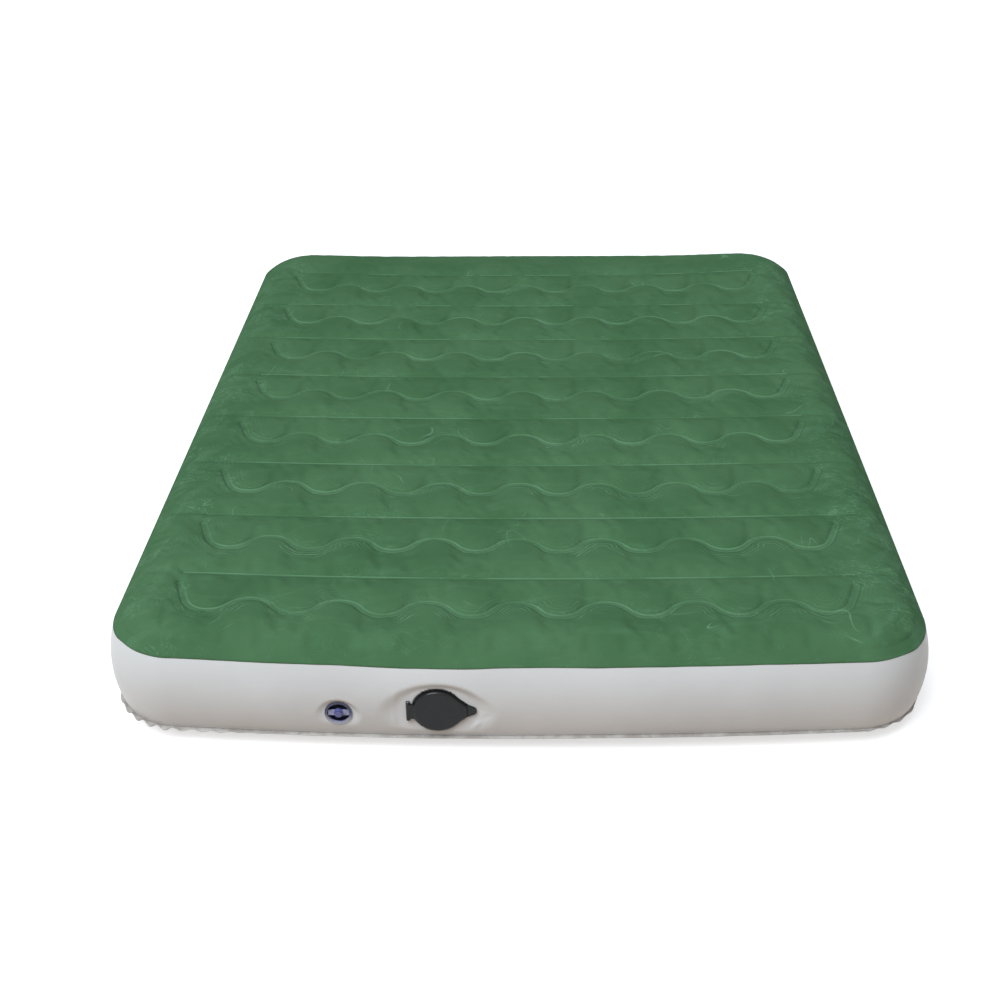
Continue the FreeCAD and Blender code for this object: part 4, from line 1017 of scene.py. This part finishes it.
# Painted shade and light on the rim: near-black navy at the top, shaded by the wall above it, and pale at
# the bottom, where it catches the light.
shaded_rim = mixed(tree, ramp(tree, up, -0.020, 0.006), (0.42, 0.42, 0.50, 1), (0.045, 0.045, 0.12, 1))
face = mixed(tree, ramp(tree, away, boss_radius - 0.0003, boss_radius + 0.0003), boss, bar)
face = mixed(tree, ramp(tree, away, rim_inner, rim_inner + 0.0004), face, shaded_rim)
# Painted shadow: parts deeper than the cap's face turn near black, for the shade inside the valve's recess.
recess_shade = ramp(tree, place["Y"], valve_face + 0.0038, valve_face + 0.0062)
tree.links.new(mixed(tree, recess_shade, face, (0.012, 0.013, 0.035, 1)), shader.inputs["Base Color"])
bump(tree, shader, [(noise_value(tree, 500.0, 2.0), 0.0001, 0.2)])
finish_nodes(["valve_body", "valve_cap", "valve_plug", "valve_flap"], tint)

# ---------------------------------------------------------------- floor, light and camera
# A plain white floor and room. To the camera and to mirrors the floor is white and takes the bed's
# shadow; what it throws back up at the wall is the dull warm light of a workshop floor.
floor_size = 12.0
floor_drop = 0.0005


def seen_plainly(tree):
    """One for the camera, for mirrors and for clear plastic; nothing for light on its way."""
    path = node(tree, "ShaderNodeLightPath")
    seen = times(tree, path.outputs["Is Camera Ray"], path.outputs["Is Glossy Ray"], "ADD")
    return times(tree, seen, path.outputs["Is Transmission Ray"], "ADD")


floor_material = bpy.data.materials.new("floor")
floor_material.use_nodes = True
tree = floor_material.node_tree
tree.nodes.clear()
white = node(tree, "ShaderNodeBsdfDiffuse", {"Color": (0.65, 0.65, 0.65, 1)})
glow = node(tree, "ShaderNodeEmission", {"Color": (1, 1, 1, 1), "Strength": 0.62})
shown = node(tree, "ShaderNodeAddShader", {0: white.outputs[0], 1: glow.outputs[0]})
dull = node(tree, "ShaderNodeBsdfDiffuse", {"Color": (0.40, 0.27, 0.17, 1)})
choice = node(tree, "ShaderNodeMixShader", {0: seen_plainly(tree), 1: dull.outputs[0], 2: shown.outputs[0]})
node(tree, "ShaderNodeOutputMaterial", {"Surface": choice.outputs[0]})
floor_mesh = bpy.data.meshes.new("floor")
h = floor_size / 2
floor_mesh.from_pydata([(-h, -h, 0), (h, -h, 0), (h, h, 0), (-h, h, 0)], [], [(0, 1, 2, 3)])
floor_mesh.materials.append(floor_material)
floor = bpy.data.objects.new("floor", floor_mesh)
floor.location.z = -floor_drop
bpy.context.scene.collection.objects.link(floor)

world = bpy.data.worlds.new("room")
bpy.context.scene.world = world
world.use_nodes = True
tree = world.node_tree
tree.nodes.clear()
room = node(tree, "ShaderNodeBackground", {"Color": (0.86, 0.93, 1.0, 1), "Strength": 0.27})
sky = node(tree, "ShaderNodeBackground", {"Color": (1, 1, 1, 1), "Strength": 1.0})
choice = node(tree, "ShaderNodeMixShader", {0: seen_plainly(tree), 1: room.outputs[0], 2: sky.outputs[0]})
node(tree, "ShaderNodeOutputWorld", {"Surface": choice.outputs[0]})


def soft_light(name, place, target, size, power, colour):
    """A soft flat lamp at a place, turned to face a target."""
    data = bpy.data.lights.new(name, "AREA")
    data.shape = "RECTANGLE"
    data.size, data.size_y = size
    data.energy = power
    data.color = colour
    lamp = bpy.data.objects.new(name, data)
    lamp.location = place
    lamp.rotation_euler = (Vector(target) - Vector(place)).to_track_quat("-Z", "Y").to_euler()
    bpy.context.scene.collection.objects.link(lamp)


soft_light("front_panel", (-0.5, -1.9, 2.3), (0, -0.4, 0.2), (2.2, 1.2), 15.0, (0.90, 0.96, 1.0))
window_data = bpy.data.lights.new("window", "SUN")
window_data.energy = 2.8
window_data.angle = 0.70
window_data.color = (0.885, 0.955, 1.0)
window = bpy.data.objects.new("window", window_data)
window_way = Vector((0.35, 0.41, -0.84))
window.rotation_euler = window_way.to_track_quat("-Z", "Y").to_euler()
bpy.context.scene.collection.objects.link(window)

camera_data = bpy.data.cameras.new("camera")
camera_data.sensor_width = 36.0
camera_data.lens = 52.94
camera = bpy.data.objects.new("camera", camera_data)
bpy.context.scene.collection.objects.link(camera)
pitch, yaw, roll = math.radians(29.93), math.radians(-1.85), math.radians(0.86)
forward = Vector((math.sin(yaw) * math.cos(pitch), math.cos(yaw) * math.cos(pitch), -math.sin(pitch)))
level_right = Vector((math.cos(yaw), -math.sin(yaw), 0))
level_down = forward.cross(level_right)
right_way = math.cos(roll) * level_right + math.sin(roll) * level_down
down_way = -math.sin(roll) * level_right + math.cos(roll) * level_down
turn = Matrix((right_way, -down_way, -forward)).transposed()
camera.matrix_world = Matrix.Translation((0.0457, -3.0898, 1.7294)) @ turn.to_4x4()
bpy.context.scene.camera = camera
bpy.context.scene.view_settings.view_transform = "Standard"
